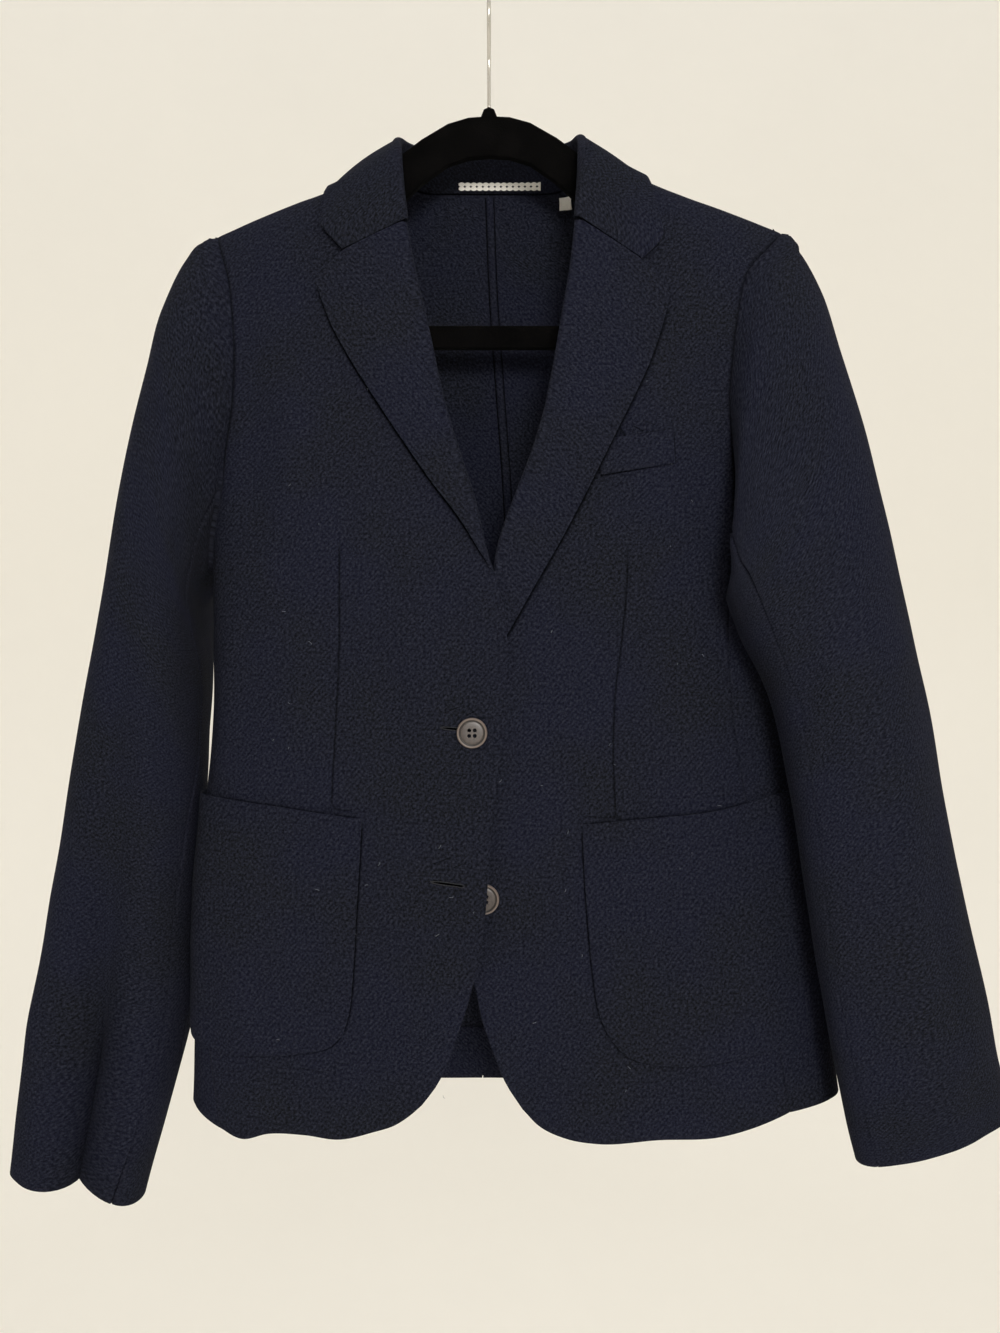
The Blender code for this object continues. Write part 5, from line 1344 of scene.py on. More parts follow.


# ---------------------------------------------------------------------------------------------
# Operators
# ---------------------------------------------------------------------------------------------


# Lines marked on the right front. The dart, the armhole seam and the buttonholes get painted shade in
# their grooves and slits; the lapel's edge and the pocket's edges cast painted shadow.
LINES_RIGHT = rows_of(
    Line,
    (DART_RIGHT, 0.8, 0.8),
    (ARMHOLE_RIGHT_FRONT, 1.2, 0.8),
    (LAPEL_EDGE_RIGHT, 1.5, 1.2),
    (POCKET_RIGHT.inner, 1.0, 1.0),
    (POCKET_RIGHT.bottom, 1.0, 1.0),
    (POCKET_RIGHT.top, 0.7, 0.6),
    (BUTTONHOLES[0], 0.95, 1.6),
    (BUTTONHOLES[1], 0.95, 1.6),
)
# Lines marked on the left front. The dart and the armhole seam get painted shade in their grooves;
# the lapel's edge, the pocket's edges and the chest welt's edges cast painted shadow.
LINES_LEFT = rows_of(
    Line,
    (DART_LEFT, 0.8, 0.8),
    (ARMHOLE_LEFT_FRONT, 1.2, 0.8),
    (LAPEL_EDGE_LEFT, 1.5, 1.2),
    (POCKET_LEFT.inner, 1.0, 1.0),
    (POCKET_LEFT.bottom, 1.0, 1.0),
    (POCKET_LEFT.top, 0.7, 0.6),
    (WELT_BOTTOM, 0.8, 0.9),
    (WELT_TOP, 0.6, 0.7),
    ((WELT_BOTTOM[1], WELT_TOP[1]), 0.7, 0.8),
)


class BLAZER_OT_fronts(bpy.types.Operator):
    """Make both fronts, the right lifted over the left and over its lower button"""

    bl_idname = "blazer.fronts"
    bl_label = "Fronts"

    def execute(self, context):
        wool, scale = wool_of(context), context.scene.blazer_cloth.fold_scale
        rows, columns = crowded(120, 1.3), even(84) ** 1.15
        half = SEAM / 2 + SEAM_EASE
        for name, parts, table, neck, sign, lines, seed in (
                ("front_right", (ROLL_RIGHT, FRONT_EDGE_RIGHT, HEM_RIGHT, ARMHOLE_RIGHT_FRONT),
                 SIDE_RIGHT, NECK_RIGHT_X, 1, LINES_RIGHT, RIGHT_FRONT_SEED),
                ("front_left", (ROLL_LEFT, FRONT_EDGE_LEFT, HEM_LEFT, ARMHOLE_LEFT_FRONT),
                 SIDE_LEFT, NECK_LEFT_X, -1, LINES_LEFT, 4)):
            patch = inset(front_patch(*parts, table, neck, rows, columns), high=sign * half)
            places = facing(patch)
            lift = overlap_lift(patch) if sign > 0 else 0.0
            lift = lift + front_relief(places, seed) * scale * quiet_edges(rows, columns)
            dart = shaded_line_marks(places, lines[:1])
            lift = lift - PRESS_DEPTH * np.exp(-((dart[..., 0] / PRESS_WIDTH) ** 2)) * dart[..., 1]
            cloth_piece(name + "_wool", on_body(patch, lift), body_grain(patch), wool, name,
                        seam=shaded_line_marks(places, lines), allow=((1, True),))
        return {"FINISHED"}


def front_relief(places, seed):
    return relief(places, FRONT_CREASES) + undulation(places, seed)


def quiet_edges(rows, columns, low=0.0, high=EDGE, bottom=0.0, top=EDGE):
    """1 inside a patch, falling to 0 over these shares at the edges that meet another piece."""
    s, t = np.asarray(columns)[None, :], np.asarray(rows)[:, None]
    quiet = 1.0
    for share, reach in ((s, low), (1 - s, high), (t, bottom), (1 - t, top)):
        if reach:
            quiet = quiet * smooth_step(share / reach)
    return quiet


class BLAZER_OT_side_panels(bpy.types.Operator):
    """Make the panels under the arms"""

    bl_idname = "blazer.side_panels"
    bl_label = "Side Panels"

    def execute(self, context):
        wool = wool_of(context)
        half = SEAM / 2 + SEAM_EASE
        rows, columns = even(90), even(44)
        for name, legs, table, armpit, hem, sign, seed in (
                ("side_panel_right", (ARMHOLE_RIGHT_FRONT, ARMHOLE_RIGHT_BACK), SIDE_RIGHT,
                 ARMPIT_RIGHT, HEM_RIGHT[-1][1], -1, 5),
                ("side_panel_left", (ARMHOLE_LEFT_FRONT, ARMHOLE_LEFT_BACK), SIDE_LEFT,
                 ARMPIT_LEFT, HEM_LEFT[-1][1], 1, 6)):
            patch = side_patch(*legs, table, armpit, hem, rows, columns)
            patch = inset(patch, sign * half, -sign * half)
            grain = body_grain(patch)
            lift = undulation(grain, seed, 50, 0.3) * quiet_edges(rows, columns, 0.1, 0.1, 0, 0.1)
            cloth_piece(name + "_wool", on_body(patch, lift), grain, wool, name, allow=((1, True),))
        return {"FINISHED"}


class BLAZER_OT_backs(bpy.types.Operator):
    """Make both halves of the back, with the folds between the shoulder blades and the waist"""

    bl_idname = "blazer.backs"
    bl_label = "Backs"

    def execute(self, context):
        wool, scale = wool_of(context), context.scene.blazer_cloth.fold_scale
        rows = crowded(110, 1.5)
        half = SEAM / 2 + SEAM_EASE
        for name, leg, table, neck, sign, seed in (
                ("back_right", ARMHOLE_RIGHT_BACK, SIDE_RIGHT, NECK_RIGHT_X, 1, 7),
                ("back_left", ARMHOLE_LEFT_BACK, SIDE_LEFT, NECK_LEFT_X, -1, 8)):
            patch = inset(back_patch(leg, table, neck, rows, 78), sign * half, -sign * half)
            columns = even(patch.shape[1])
            places = facing(patch)
            lift = (relief(places, BACK_CREASES) + undulation(places, seed)) * scale
            lift = lift * quiet_edges(rows, columns, 0.08, 0.08, 0, 0.12)
            cloth_piece(name + "_wool", on_body(patch, lift), body_grain(patch), wool, name)
        return {"FINISHED"}


LAPEL_EDGE_LIFT = 3.7
LAPEL_BELLY = 1.2  # how far a lapel swells between its fold and its edge
# Shares of the lapel, from its lower end, over which these three grow to their full size.
ROLL_GROWTH, EDGE_GROWTH, BELLY_GROWTH = 0.28, 0.2, 0.3
FOLD_STEPS = 13  # points round a half circle of folded cloth
STAND_ROWS = 7  # points up the collar's stand, the last of them on the fold


def lapel_grid(roll, edge, top, side, lift_of, rows, columns, begin):
    """A lapel: the front's cloth folded over at the roll line, and lying just off the front.

    The fold is a half circle that grows up the roll line from begin, its share at the lower
    end. From its top the lift falls evenly to the edge, plus a swell that is a sine of the share
    across.
    """
    inner = seen([p for p in roll if p[1] < top[0][1] - 3] + [top[0]])
    outer = seen(edge)
    bottom = np.stack([inner[0], outer[0]])
    patch = coons(inner, outer, bottom, seen(top), rows, columns, ("bottom", "top"))
    base_lift = lift_of(patch)
    start = on_body(patch[:, :1], base_lift[:, :1])[:, 0]
    normal = outward(patch[:, 0, 0], patch[:, 0, 1])
    down = np.gradient(start, axis=0)
    inward = unit(np.cross(normal, down))
    inward *= np.sign(inward[:, :1]) * side
    radius = (ROLL * (begin + (1 - begin) * smooth_step(rows / ROLL_GROWTH)))[:, None]
    start = start + inward * FOLD_GAP * radius / ROLL
    beta = np.linspace(0, math.pi, FOLD_STEPS)[None, :, None]
    fold = (start[:, None] + normal[:, None] * ((1 - np.cos(beta)) * radius[..., None])
            + inward[:, None] * (np.sin(beta) * radius[..., None]))
    share = columns[None, :]
    edge_lift = LAPEL_EDGE_LIFT * (begin + (1 - begin) * smooth_step(rows / EDGE_GROWTH))[:, None]
    lift = base_lift + 2 * radius + (edge_lift - 2 * radius) * share
    lift = lift + LAPEL_BELLY * np.sin(math.pi * share) * smooth_step(rows / BELLY_GROWTH)[:, None]
    face = on_body(patch, lift)
    flat = body_grain(patch, folded=True)
    round_fold = np.linspace(math.pi * ROLL, 0, FOLD_STEPS)[None, :, None]
    turned = flat[:, :1] - np.array([1.0, 0]) * side * round_fold
    return (np.concatenate([fold, face[:, 1:]], axis=1),
            np.concatenate([turned, flat[:, 1:]], axis=1))


class BLAZER_OT_lapels(bpy.types.Operator):
    """Make the notched lapels, rolled over soft folds"""

    bl_idname = "blazer.lapels"
    bl_label = "Lapels"

    def execute(self, context):
        wool = wool_of(context)
        rows, columns = even(100), even(34) ** 1.1
        for name, roll, edge, top, side, lift_of, begin in (
                ("lapel_right", ROLL_RIGHT, LAPEL_EDGE_RIGHT, LAPEL_TOP_RIGHT, 1, overlap_lift, 0.05),
                ("lapel_left", ROLL_LEFT, LAPEL_EDGE_LEFT, LAPEL_TOP_LEFT, -1,
                 lambda patch: np.zeros(patch.shape[:2]), 0.35)):
            grid, grain = lapel_grid(roll, edge, top, side, lift_of, rows, columns, begin)
            cloth_piece(name + "_wool", grid, grain, wool, name,
                        flip=side < 0)
        return {"FINISHED"}


def collar_half(table, roll, neck, shares):
    """Half the collar's grid: the stand up from the neck seam, round the fold, and the fall.

    The fold is a half circle whose plane holds the stand's direction and the way out. The fall
    is the straight line to its edge plus a crown, a sine of the share down it.
    """
    along = [leaf.along for leaf in table]

    def read(*names):
        return smooth(along, [[getattr(leaf, n) for n in names] for leaf in table], shares)

    seam = trace(neck_seam(roll, neck), shares)
    fold, edge = read("fold_x", "fold_y", "fold_z"), read("edge_x", "edge_y", "edge_z")
    angle = np.radians(read("out"))
    out = np.concatenate([np.cos(angle), np.sin(angle), 0 * angle], axis=-1)
    up = unit(fold - seam - out * ROLL)
    out = unit(out - up * (out * up).sum(-1, keepdims=True))
    front = 1 - smooth_step((shares - 0.2) / 0.3)[:, None]
    inward = np.array([-math.copysign(1, neck), 0, 0])
    seam = seam + unit(up * (1 - front) + inward * front) * FOLD_GAP
    hub = fold - up * ROLL
    stand = [seam + (hub - out * ROLL - seam) * s for s in even(STAND_ROWS)[:-1]]
    turn = [hub - out * ROLL * math.cos(b) + up * ROLL * math.sin(b)
            for b in np.linspace(0, math.pi, FOLD_STEPS)]
    crown = read("crown")
    fall = [off_body(turn[-1] + (edge - turn[-1]) * s
                     + unit(out + up) * crown * math.sin(math.pi * s), COLLAR_CLEARANCE)
            for s in even(22)[1:]]
    return np.stack(stand + turn + fall, axis=1)


def collar_whole():
    """Both halves of the collar as one grid, from the right gorge to the left."""
    shares = np.interp(even(70), (0, 0.33, 0.75, 1), (0, 0.34, 0.66, 1))
    right = collar_half(COLLAR_RIGHT, ROLL_RIGHT, NECK_RIGHT_X, shares)
    left = collar_half(COLLAR_LEFT, ROLL_LEFT, NECK_LEFT_X, shares)
    return np.concatenate([right, left[-2::-1]])


class BLAZER_OT_collar(bpy.types.Operator):
    """Make the collar: the stand inside the neck, its fold and the fall outside"""

    bl_idname = "blazer.collar"
    bl_label = "Collar"

    def execute(self, context):
        grid = collar_whole()
        # The grain runs along the fold's outer side and down each line of the grid.
        fold_end = grid[:, STAND_ROWS + FOLD_STEPS - 1]
        run = np.concatenate([[0], np.cumsum(np.linalg.norm(np.diff(fold_end, axis=0), axis=1))])
        steps = np.linalg.norm(np.diff(grid, axis=1), axis=-1)
        down = np.concatenate([np.zeros((len(grid), 1)), np.cumsum(steps, axis=1)], axis=1)
        grain = np.stack([np.broadcast_to(run[:, None], down.shape), -down], axis=-1)
        cloth_piece("collar_wool", grid, grain, wool_of(context), "collar")
        return {"FINISHED"}


class BLAZER_OT_sleeves(bpy.types.Operator):
    """Make the upper and under halves of both sleeves, with their long folds and elbow creases"""

    bl_idname = "blazer.sleeves"
    bl_label = "Sleeves"

    def execute(self, context):
        wool = wool_of(context)
        along = np.concatenate([HEAD_SHARE * even(30)[:-1], np.linspace(HEAD_SHARE, 1, 112)])
        along = along[:, None]
        for hand, table, legs, side, armpit, seams, fold, creases, seed in (
                ("right", SLEEVE_RIGHT, (ARMHOLE_RIGHT_FRONT, ARMHOLE_RIGHT_BACK), SIDE_RIGHT,
                 ARMPIT_RIGHT, SEAMS_RIGHT, LONG_FOLD, RIGHT_SLEEVE_CREASES, 11),
                ("left", SLEEVE_LEFT, (ARMHOLE_LEFT_FRONT, ARMHOLE_LEFT_BACK), SIDE_LEFT,
                 ARMPIT_LEFT, SEAMS_LEFT, None, LEFT_SLEEVE_CREASES, 12)):
            front = smooth([s.along for s in seams], [s.front for s in seams], along)
            back = smooth([s.along for s in seams], [s.back for s in seams], along)
            half = SLEEVE_SEAM_HALF + SLEEVE_SEAM_EASE * np.exp(-along / HEAD_EASE)
            upper = (back - 360 + half) + (front - back + 360 - 2 * half) * even(84)[None, :]
            under = (front + half) + (back - front - 2 * half) * even(40)[None, :]
            for name, degrees, allow in (
                    ("sleeve_upper_", upper, ()),
                    ("sleeve_under_", under, ((1, False), (1, True)))):
                spread = np.broadcast_to(along, degrees.shape)
                grid = sleeve_points(table, legs, side, armpit, spread, degrees, fold, creases,
                                     seed)
                left = hand == "left"
                grain = sleeve_plane(spread, degrees) * [-1 if left else 1, -1]
                hub = grid.mean(axis=1, keepdims=True) * np.ones((1, grid.shape[1], 1))
                turned_in = [armhole_start(legs, side, armpit, np.radians(degrees[:1]), *line)
                             for line in TURNED_IN]
                grid = np.concatenate([*turned_in, grid])
                grain, hub = [np.concatenate([np.repeat(v[:1], len(TURNED_IN), axis=0), v])
                              for v in (grain, hub)]
                cloth_piece(f"{name}{hand}_wool", grid, grain, wool, name + hand, flip=left,
                            hub=hub, allow=allow)
        return {"FINISHED"}


def pocket_grid(pocket, rows, columns):
    """A patch pocket's (turn, z) patch between its four edges."""
    outer = np.array(pocket.outer, float) * [math.pi / 180, 1]
    inner = seen(pocket.inner)
    bottom = np.concatenate([seen(pocket.bottom), outer[:1]])
    top = np.concatenate([seen(pocket.top), outer[-1:]])
    return coons(inner, outer, bottom, top, rows, columns)


POCKET_EDGE_LIFT = 1.75  # sewn down: the pocket's edge lies on the front
POCKET_BELLY = 1.5  # how far the pocket stands away from the front at its mouth
WRAP_FROM, WRAP_EASE = 0.9, 0.08  # sine of the turn from which a pocket wraps the side


class BLAZER_OT_pockets(bpy.types.Operator):
    """Make the two patch pockets and the chest pocket's welt"""

    bl_idname = "blazer.pockets"
    bl_label = "Pockets"

    def execute(self, context):
        wool = wool_of(context)
        rows, columns = even(64), even(80)
        for name, pocket, seed in (
                ("pocket_right", POCKET_RIGHT, 21), ("pocket_left", POCKET_LEFT, 22)):
            patch = pocket_grid(pocket, rows, columns)
            places = facing(patch)
            edge = quiet_edges(rows, columns, EDGE, EDGE, EDGE, 0)
            wrap = smooth_step((np.abs(np.sin(patch[..., 0])) - WRAP_FROM) / WRAP_EASE)
            belly = np.sin(math.pi * columns) ** 0.7 * rows[:, None] ** 2 * POCKET_BELLY
            wave = undulation(places, seed, 45, 0.3) + relief(places, POCKET_CREASES)
            under = relief(places, FRONT_CREASES) * quiet_edges(rows, columns, 0, EDGE, 0, 0)
            overlap = overlap_lift(patch) if name == "pocket_right" else 0.0
            lift = POCKET_EDGE_LIFT + edge * (POCKET_LIFT - POCKET_EDGE_LIFT + belly + wave)
            lift = np.maximum(lift + under, POCKET_EDGE_LIFT) + overlap + POCKET_WRAP * wrap
            cloth_piece(name + "_wool", on_body(patch, lift), body_grain(patch), wool, name,
                        POCKET_CLOTH)
        low, high = seen(WELT_BOTTOM), seen(WELT_TOP)
        bottom, top = along_body(low, even(40)), along_body(high, even(40))
        patch = between(bottom, top, 18)
        edge = quiet_edges(even(18), even(40), 0, 0.08, 0.12, 0)
        lift = POCKET_EDGE_LIFT + edge * (POCKET_LIFT - POCKET_EDGE_LIFT)
        # Painted shadow of the lapel's edge, carried on over the welt.
        shade = shaded_line_marks(facing(patch), (Line(LAPEL_EDGE_LEFT, 1.5, 1.2),))
        cloth_piece("chest_welt_wool", on_body(patch, lift), body_grain(patch), wool, "chest_welt",
                    POCKET_CLOTH, seam=shade)
        return {"FINISHED"}


POCKET_CREASES = rows_of(
    Crease,
    (((-164, -560), (-150, -610), (-146, -660)), 9, 0.9),
    (((-140, -640), (-152, -680), (-150, -700)), 8, -0.9),
    (((-100, -560), (-110, -620), (-106, -680)), 12, 0.6),
    (((84, -570), (96, -630), (90, -690)), 12, 0.7),
    (((150, -560), (146, -620), (154, -690)), 12, -0.8),
    (((118, -700), (150, -700), (176, -694)), 4, 1.0),
)


class BLAZER_OT_trims(bpy.types.Operator):
    """Make the centre-back tape, the turned-up hem, the size label and the hanging loop's tape"""

    bl_idname = "blazer.trims"
    bl_label = "Trims"

    def execute(self, context):
        wool, trims = wool_of(context), context.scene.blazer_trims
        z = np.linspace(BACK_NECK_Z - 2, BACK_HEM + TURN_UP + 1.5, 110)
        centre = np.array(CENTRE_BACK[::-1], float)
        path = seen(np.stack([smooth(centre[:, 1], centre[:, 0], z), z], axis=-1), True)
        path[:, 0] = round_back(path[:, 0], 1)
        half = np.stack([gap_turn(path, TAPE_WIDTH / 2), 0 * z], axis=-1)
        share = np.linspace(-1, 1, 13)
        tape = path[:, None] + half[:, None] * share[None, :, None]
        belly = TRIM_LIFT + TAPE_BELLY * (1 - share[None, :] ** 2)
        level = 0 * tape[..., 0]
        grain = np.stack([level + share * TAPE_WIDTH / 2, tape[..., 1]], axis=-1)
        # Both of its edges are sewn lines, darkened with painted shade in their grooves.
        inward = (1 - np.abs(share)) * TAPE_WIDTH / 2
        edges = np.stack([level + inward, level + TAPE_EDGE_SHADE], axis=-1)
        cloth_piece("centre_back_tape_wool", on_body(tape, -belly), grain, wool, "centre_back_tape",
                    TRIM, flip=True, rim=0.3, seam=edges)

        turn = np.radians(np.linspace(180 - HEM_REACH, 180 + HEM_REACH, 120))
        rise = (SIDE_HEM - BACK_HEM) * np.abs((turn - math.pi) / math.radians(HEM_REACH)) ** 3
        low = np.stack([turn, BACK_HEM + 1 + rise], axis=-1)
        hem = between(low, low + [0, TURN_UP - 1], 16)
        cloth_piece("back_hem_wool", on_body(hem, -TRIM_LIFT), body_grain(hem), wool, "back_hem",
                    TRIM, flip=True, rim=0.3)

        low, high = [along_body(seen(line, True), even(16)) for line in (LABEL_LOW, LABEL_HIGH)]
        label = between(low, high, 12)
        bow = LABEL_BOW * np.sin(math.pi * even(12))[:, None]
        grid = on_body(label, -TRIM_LIFT - LABEL_EASE - bow)
        cloth_piece("size_label_tape", grid, grid[..., ::2], finish_of(label_material, trims),
                    "size_label", 0.4, flip=True, rim=0)

        # The braid lies on the collar's stand, along the part of it behind the neck.
        collar = collar_whole()
        collar = collar[np.abs(collar[:, 0, 0]) < NECK_LEFT_X - 4]
        foot, head = collar[:, 0], collar[:, STAND_ROWS - 1]
        at = np.linspace(*LOOP_SPAN, 60)
        rows = []
        for height in (LOOP_LOW, LOOP_HIGH):
            part = (height - foot[:, 2]) / (head[:, 2] - foot[:, 2])
            line = foot + (head - foot) * part[:, None]
            rows.append(np.stack([np.interp(at, foot[:, 0], x) for x in line.T], axis=-1))
        grid = between(rows[0], rows[1], 10)
        grid[..., 1] -= TRIM_LIFT + LOOP_EASE
        middle = [LOOP_SPAN[0], (LOOP_LOW + LOOP_HIGH) / 2]
        cloth_piece("loop_tape_cotton", grid, grid[..., ::2] - middle,
                    finish_of(tape_material, trims), "loop_tape", 0.7,
                    flip=True, rim=0.2)
        return {"FINISHED"}


def turned(profile, sides):
    """A profile of (radius, height) turned about its axis: a grid closed round."""
    angle = circle(sides)
    radius, height = np.asarray(profile, float).T
    x = radius[:, None] * np.cos(angle)
    y = radius[:, None] * np.sin(angle)
    return np.stack([x, y, np.broadcast_to(height[:, None], x.shape)], axis=-1)


def circle(count):
    """Angles in even steps once round."""
    return np.linspace(0, 2 * math.pi, count, endpoint=False)


def tube(path, side, up, radius, sides):
    """A grid round a path: at each point a circle in the plane of side and up."""
    angle = circle(sides)[None, :, None]
    return path[:, None] + (side[:, None] * np.cos(angle) + up[:, None] * np.sin(angle)) * radius


POLE = 0.0001  # radius of a turned shape's two ends, whose points are then merged


def button_mesh(name, seat, resin):
    """A button: a turned disc with a rim, a groove and a dished face, and four drilled holes."""
    r, h = BUTTON_RADIUS, BUTTON_HEIGHT
    profile = [(POLE, 0), (r * 0.5, 0), (r - 1.4, 0), (r - 0.5, 0.35), (r - 0.1, 1.0), (r, 1.6),
               (r - 0.05, h - 0.9), (r - 0.35, h - 0.3), (r - 0.8, h), (r - 1.2, h - 0.05),
               (r - 1.6, h - 0.35), (r - 1.9, h - 0.85), (r - 2.2, h - 0.95), (r - 2.6, h - 0.75),
               (r - 3.4, h - 0.62), (r * 0.4, h - 0.6), (POLE, h - 0.6)]
    grid = turned(profile, 64)
    disc = mesh_of(name, grid, grid_faces(*grid.shape[:2], around=True), resin)
    drill, tools = [(POLE, -5), (BUTTON_HOLE_RADIUS, -5), (BUTTON_HOLE_RADIUS, 9), (POLE, 9)], []
    for k in range(4):
        across, up = k % 2 - 0.5, k // 2 - 0.5
        shape = turned(drill, 24) + [across * BUTTON_HOLE_SPACING, up * BUTTON_HOLE_SPACING, 0]
        tool = mesh_of(f"drill_{k}", shape, grid_faces(*shape.shape[:2], around=True), resin)
        tools.append(tool)
        cut = disc.modifiers.new(f"hole_{k}", "BOOLEAN")
        cut.object = tool
        cut.operation = "DIFFERENCE"
    for made in [disc] + tools:
        merge_doubles(made.data)
    whole = disc.evaluated_get(bpy.context.evaluated_depsgraph_get())
    cut_mesh = bpy.data.meshes.new_from_object(whole)
    disc.modifiers.clear()
    disc.data = cut_mesh
    for tool in tools:
        bpy.data.objects.remove(tool)
    points = np.empty(len(cut_mesh.vertices) * 3)
    cut_mesh.vertices.foreach_get("co", points)
    points = points.reshape(-1, 3)
    keep(disc, "radius", np.hypot(points[:, 0], points[:, 1]) / MM)
    placed = np.stack([points[:, 0], -points[:, 2], points[:, 1]], axis=-1) + np.array(seat) * MM
    cut_mesh.vertices.foreach_set("co", placed.ravel())
    cut_mesh.update()
    cut_mesh.shade_smooth()
    cut_mesh.set_sharp_from_angle(angle=math.radians(38))
    return disc


def merge_doubles(mesh, closed=True):
    """Merges points that lie on each other, such as a pole's, and faces closed walls outwards."""
    work = bmesh.new()
    work.from_mesh(mesh)
    bmesh.ops.remove_doubles(work, verts=work.verts, dist=0.000002)
    bmesh.ops.dissolve_degenerate(work, dist=0.000001, edges=work.edges)
    if closed:
        bmesh.ops.recalc_face_normals(work, faces=work.faces)
    work.to_mesh(mesh)
    work.free()


class BLAZER_OT_buttons(bpy.types.Operator):
    """Make both buttons, with their rims and their four holes"""

    bl_idname = "blazer.buttons"
    bl_label = "Buttons"

    def execute(self, context):
        trims = context.scene.blazer_trims
        resin = finish_of(resin_material, trims)
        for name, (x, z), lift in (("button_top", UPPER_BUTTON, OVERLAP_LIFT),
                                   ("button_bottom", LOWER_BUTTON, 0.0)):
            seat = torso(turn_of(x, z), z)
            seat[1] -= lift + CLOTH / 2 + SEAM + SEAM_EASE
            disc = button_mesh(name + "_resin", seat, resin)
            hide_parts(name)
        return {"FINISHED"}


class BLAZER_OT_buttonholes(bpy.types.Operator):
    """Work the two buttonholes: two rows of purl stitches round a slit, darkened with painted shade
    on the front
    """

    bl_idname = "blazer.buttonholes"
    bl_label = "Buttonholes"

    def execute(self, context):
        thread = finish_of(thread_material, context.scene.blazer_cloth)
        for name, (start, end) in zip(("upper", "lower"), BUTTONHOLES):
            start, end = np.array(start), np.array(end)
            along, span = unit(end - start), np.linalg.norm(end - start)
            across = np.array([-along[1], along[0]])
            # A long oval round the slit, wider at the eye, thick as the thread wraps it.
            turn = circle(HOLE_POINTS)
            run = (0.5 - 0.5 * np.cos(turn)) * span
            eye = EYE_WIDTH * np.exp(-(((run - span + EYE_REACH) / EYE_REACH) ** 2))
            wide = (HOLE_WIDTH + eye) * np.sin(turn)
            path = start + along * run[:, None] + across * wide[:, None]
            patch = seen(path)
            lift = overlap_lift(patch) + front_relief(path, RIGHT_FRONT_SEED) + CLOTH / 2 + 0.1
            base, normal = on_body(patch, lift), outward(patch[:, 0], patch[:, 1])
            step = unit(np.roll(base, -1, axis=0) - np.roll(base, 1, axis=0))
            wrap = 1 + 0.22 * np.sin(np.arange(HOLE_POINTS) * math.pi / 2)
            rope = tube(base, np.cross(step, normal), normal, THREAD * wrap[:, None, None], 8)
            faces = grid_faces(*rope.shape[:2], around=True, looped=True)
            made = mesh_of(f"buttonhole_{name}", rope, faces, thread)
            merge_doubles(made.data)
        return {"FINISHED"}


class BLAZER_OT_hanger(bpy.types.Operator):
    """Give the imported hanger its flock, and draw the wire hook round and bright"""

    bl_idname = "blazer.hanger"
    bl_label = "Hanger"

    def execute(self, context):
        hanger = context.scene.blazer_hanger
        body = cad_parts["hanger_frame"]
        body.data.materials.clear()
        body.data.materials.append(finish_of(velvet_material, hanger))
        hub = WIRE_RADIUS - HOOK_RADIUS
        sweep = np.radians(np.linspace(*HOOK_SWEEP, 90))
        ring = np.stack([0 * sweep, HOOK_RADIUS * np.cos(sweep),
                         hub + HOOK_RADIUS * np.sin(sweep)], axis=-1)
        shank = np.array([(0, 0, NUB_TOP + SEAM), *SHANK, ring[0]])
        path = np.concatenate([trace(shank, even(60))[:-1], ring])
        step = unit(np.gradient(path, axis=0))
        side = np.broadcast_to([1.0, 0.0, 0.0], path.shape)
        wire = tube(path, side, np.cross(step, side), WIRE_RADIUS, 20)
        # A rounded tip: four shrinking rings past the wire's end, and a flat start in the nub.
        tips = [wire[-1] * math.cos(b) + path[-1] * (1 - math.cos(b))
                + step[-1] * WIRE_RADIUS * math.sin(b) for b in (0.5, 1.0, 1.3, 1.5707)]
        start = np.broadcast_to(path[0], wire[0].shape)
        wire = np.concatenate([start[None], wire, np.stack(tips)])
        made = mesh_of("hanger_hook_wire", wire, grid_faces(*wire.shape[:2], around=True),
                       finish_of(steel_material, hanger))
        merge_doubles(made.data)
        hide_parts("hanger_hook")
        return {"FINISHED"}


FIBRE = 0.16  # width of a loose fibre


class BLAZER_OT_lint(bpy.types.Operator):
    """Scatter the loose pale fibres that a brushed wool picks up"""

    bl_idname = "blazer.lint"
    bl_label = "Lint"

    def execute(self, context):
        draw = np.random.default_rng(31)
        count, steps = 80, 6
        front = draw.random(count) < 0.62
        x = np.where(front, draw.uniform(-150, 150, count), draw.uniform(-150, 150, count))
        z = draw.uniform(-730, -230, count)
        # None lies in the neck's opening.
        open_neck = (np.abs(x) < 60) & (z > -430) & front
        x = np.where(open_neck, x + np.sign(x + 0.01) * 62, x)
        way = draw.uniform(0, math.pi, count)
        long = draw.uniform(0.8, 3.6, count)
        bend = draw.uniform(-1.6, 1.6, count)
        angle = way[:, None] + bend[:, None] * np.linspace(-0.5, 0.5, steps)
        step = np.stack([np.cos(angle), np.sin(angle)], axis=-1) * (long / steps)[:, None, None]
        line = np.stack([x, z], axis=-1)[:, None] + np.cumsum(step, axis=1)
        across = np.stack([-np.sin(angle), np.cos(angle)], axis=-1) * FIBRE / 2
        front, strips = front[:, None], []
        for places in (line - across, line + across):
            x, z = places[..., 0], places[..., 1]
            patch = np.stack([turn_of(x, z, ~front), z], axis=-1)
            lift = np.where(front, overlap_lift(patch) + relief(places, FRONT_CREASES),
                            relief(places, BACK_CREASES))
            on_pocket = (z < -538) & (np.abs(x + 5) > 60) & front
            lift = lift + CLOTH / 2 + 0.35 + np.where(on_pocket, POCKET_LIFT + 2.2, 0)
            strips.append(on_body(patch, lift))
        faces = grid_faces(steps, 2) + np.arange(count)[:, None, None] * steps * 2
        made = mesh_of("lint", np.stack(strips, axis=2), faces.reshape(-1, 4),
                       finish_of(lint_material, context.scene.blazer_cloth))
        return {"FINISHED"}


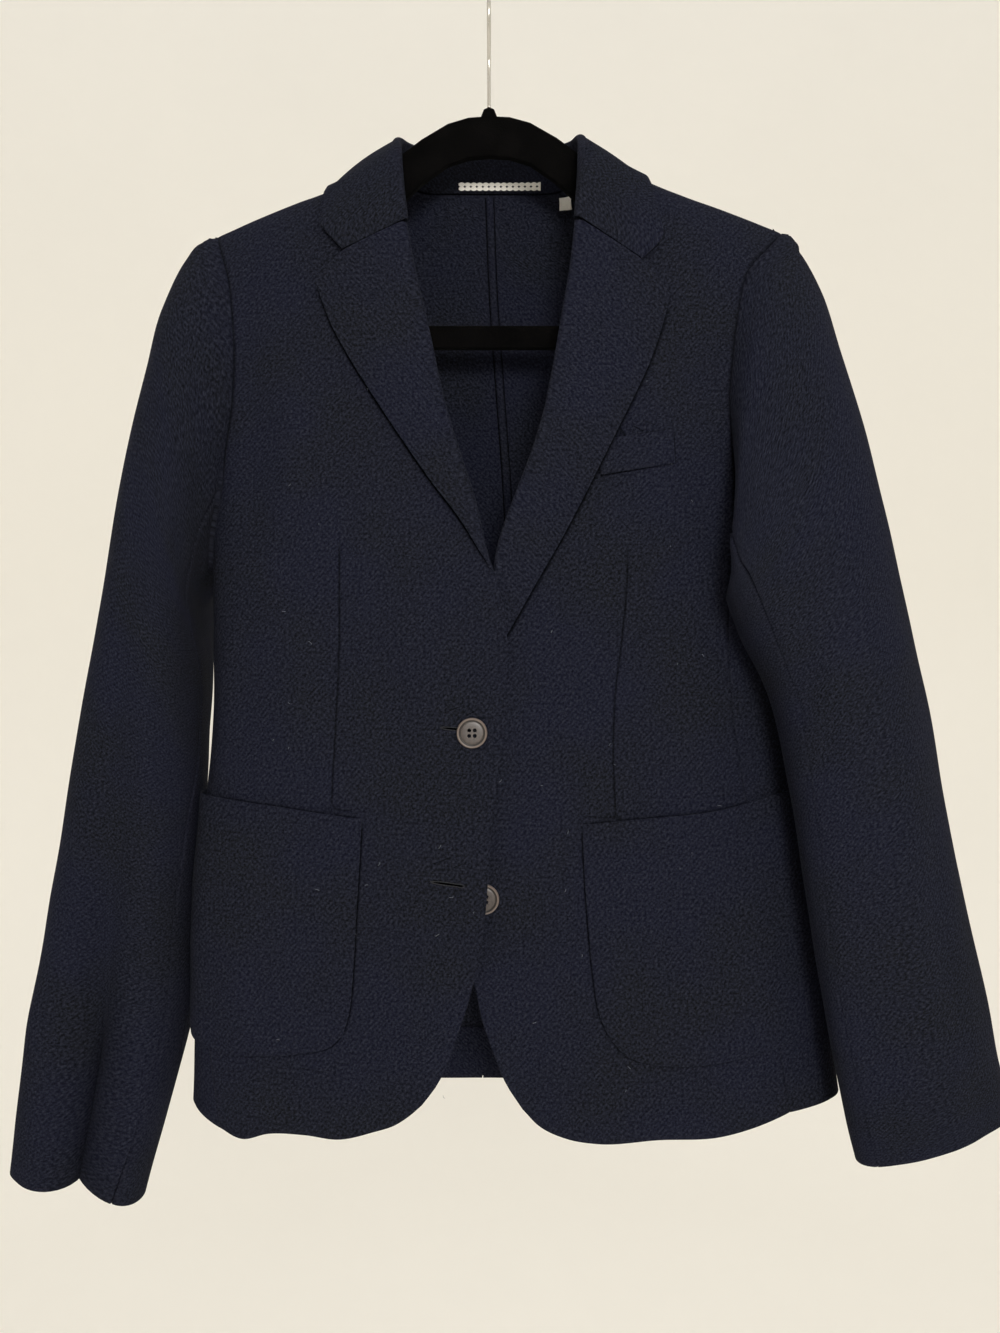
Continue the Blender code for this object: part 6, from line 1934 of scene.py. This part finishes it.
class BLAZER_OT_stage(bpy.types.Operator):
    """Set the round backdrop, the soft lights and the camera"""

    bl_idname = "blazer.stage"
    bl_label = "Stage"

    def execute(self, context):
        stage, scene = context.scene.blazer_stage, context.scene
        # The backdrop: a round floor, a quarter bend and a wall, turned about the hanging line.
        floor, radius, bend = -stage.floor_drop / MM, 3400.0, 1600.0
        beta = np.linspace(0, math.pi / 2, 24)
        out = np.concatenate([[0.001, 900], radius - bend + bend * np.sin(beta), [radius, radius]])
        up = np.concatenate([[floor, floor], floor + bend - bend * np.cos(beta),
                             [floor + 3200, floor + 4600]])
        grid = turned(np.stack([out, up], axis=-1), 72)
        room = mesh_of("backdrop", grid, grid_faces(*grid.shape[:2], around=True),
                       finish_of(backdrop_material, stage))

        for name, place, size, power, tint in (
                ("key", (0.35, -2.1, 0.05), 0.7, stage.key_power, (1.0, 0.985, 0.965)),
                ("fill", (1.9, -1.2, 0.6), 1.6, stage.fill_power, (0.97, 0.98, 1.0)),
                ("back", (0.3, 2.2, 1.0), 1.8, stage.fill_power, (1.0, 0.99, 0.98))):
            data = bpy.data.lights.new(name, "AREA")
            data.shape, data.size, data.energy, data.color = "DISK", size, power, tint
            light = bpy.data.objects.new(name, data)
            light.visible_camera = False
            light.location = place
            aim = Vector((0, 0, -0.45)) - light.location
            light.rotation_euler = aim.to_track_quat("-Z", "Y").to_euler()
            scene.collection.objects.link(light)

        world = bpy.data.worlds.new("sky")
        world.use_nodes = True
        back = world.node_tree.nodes["Background"]
        back.inputs["Color"].default_value = (1.0, 0.99, 0.975, 1)
        back.inputs["Strength"].default_value = stage.sky_strength
        scene.world = world
        scene.view_settings.view_transform = "Standard"

        data = bpy.data.cameras.new("camera")
        data.sensor_fit, data.sensor_height, data.sensor_width = "VERTICAL", 36.0, 36.0
        data.lens = stage.lens
        data.clip_start, data.clip_end = 0.01, 50.0
        camera = bpy.data.objects.new("camera", data)
        camera.location = (0.00748, -0.680, -0.4554)
        camera.rotation_euler = (math.pi / 2, 0, 0)
        scene.collection.objects.link(camera)
        scene.camera = camera
        return {"FINISHED"}


OPERATORS = (
    BLAZER_OT_stage, BLAZER_OT_fronts, BLAZER_OT_side_panels, BLAZER_OT_backs, BLAZER_OT_lapels,
    BLAZER_OT_collar, BLAZER_OT_sleeves, BLAZER_OT_pockets, BLAZER_OT_trims, BLAZER_OT_buttons,
    BLAZER_OT_buttonholes, BLAZER_OT_hanger, BLAZER_OT_lint,
)
SETTINGS = {
    "blazer_cloth": BlazerCloth,
    "blazer_trims": BlazerTrims,
    "blazer_hanger": BlazerHanger,
    "blazer_stage": BlazerStage,
}


class BLAZER_PT_panel(bpy.types.Panel):
    """The blazer's settings and pieces"""

    bl_label = "Blazer"
    bl_idname = "BLAZER_PT_panel"
    bl_space_type = "VIEW_3D"
    bl_region_type = "UI"
    bl_category = "Blazer"

    def draw(self, context):
        for name, group in SETTINGS.items():
            box = self.layout.box()
            for key in group.__annotations__:
                box.prop(getattr(context.scene, name), key)
        for operator in OPERATORS:
            self.layout.operator(operator.bl_idname)


def register():
    for made in (*SETTINGS.values(), *OPERATORS, BLAZER_PT_panel):
        bpy.utils.register_class(made)
    for name, group in SETTINGS.items():
        setattr(bpy.types.Scene, name, bpy.props.PointerProperty(type=group))


def unregister():
    for name in SETTINGS:
        delattr(bpy.types.Scene, name)
    for made in (BLAZER_PT_panel, *OPERATORS[::-1], *list(SETTINGS.values())[::-1]):
        bpy.utils.unregister_class(made)


def main():
    register()
    for operator in OPERATORS:
        group, name = operator.bl_idname.split(".")
        getattr(getattr(bpy.ops, group), name)()


if __name__ == "__main__":
    main()
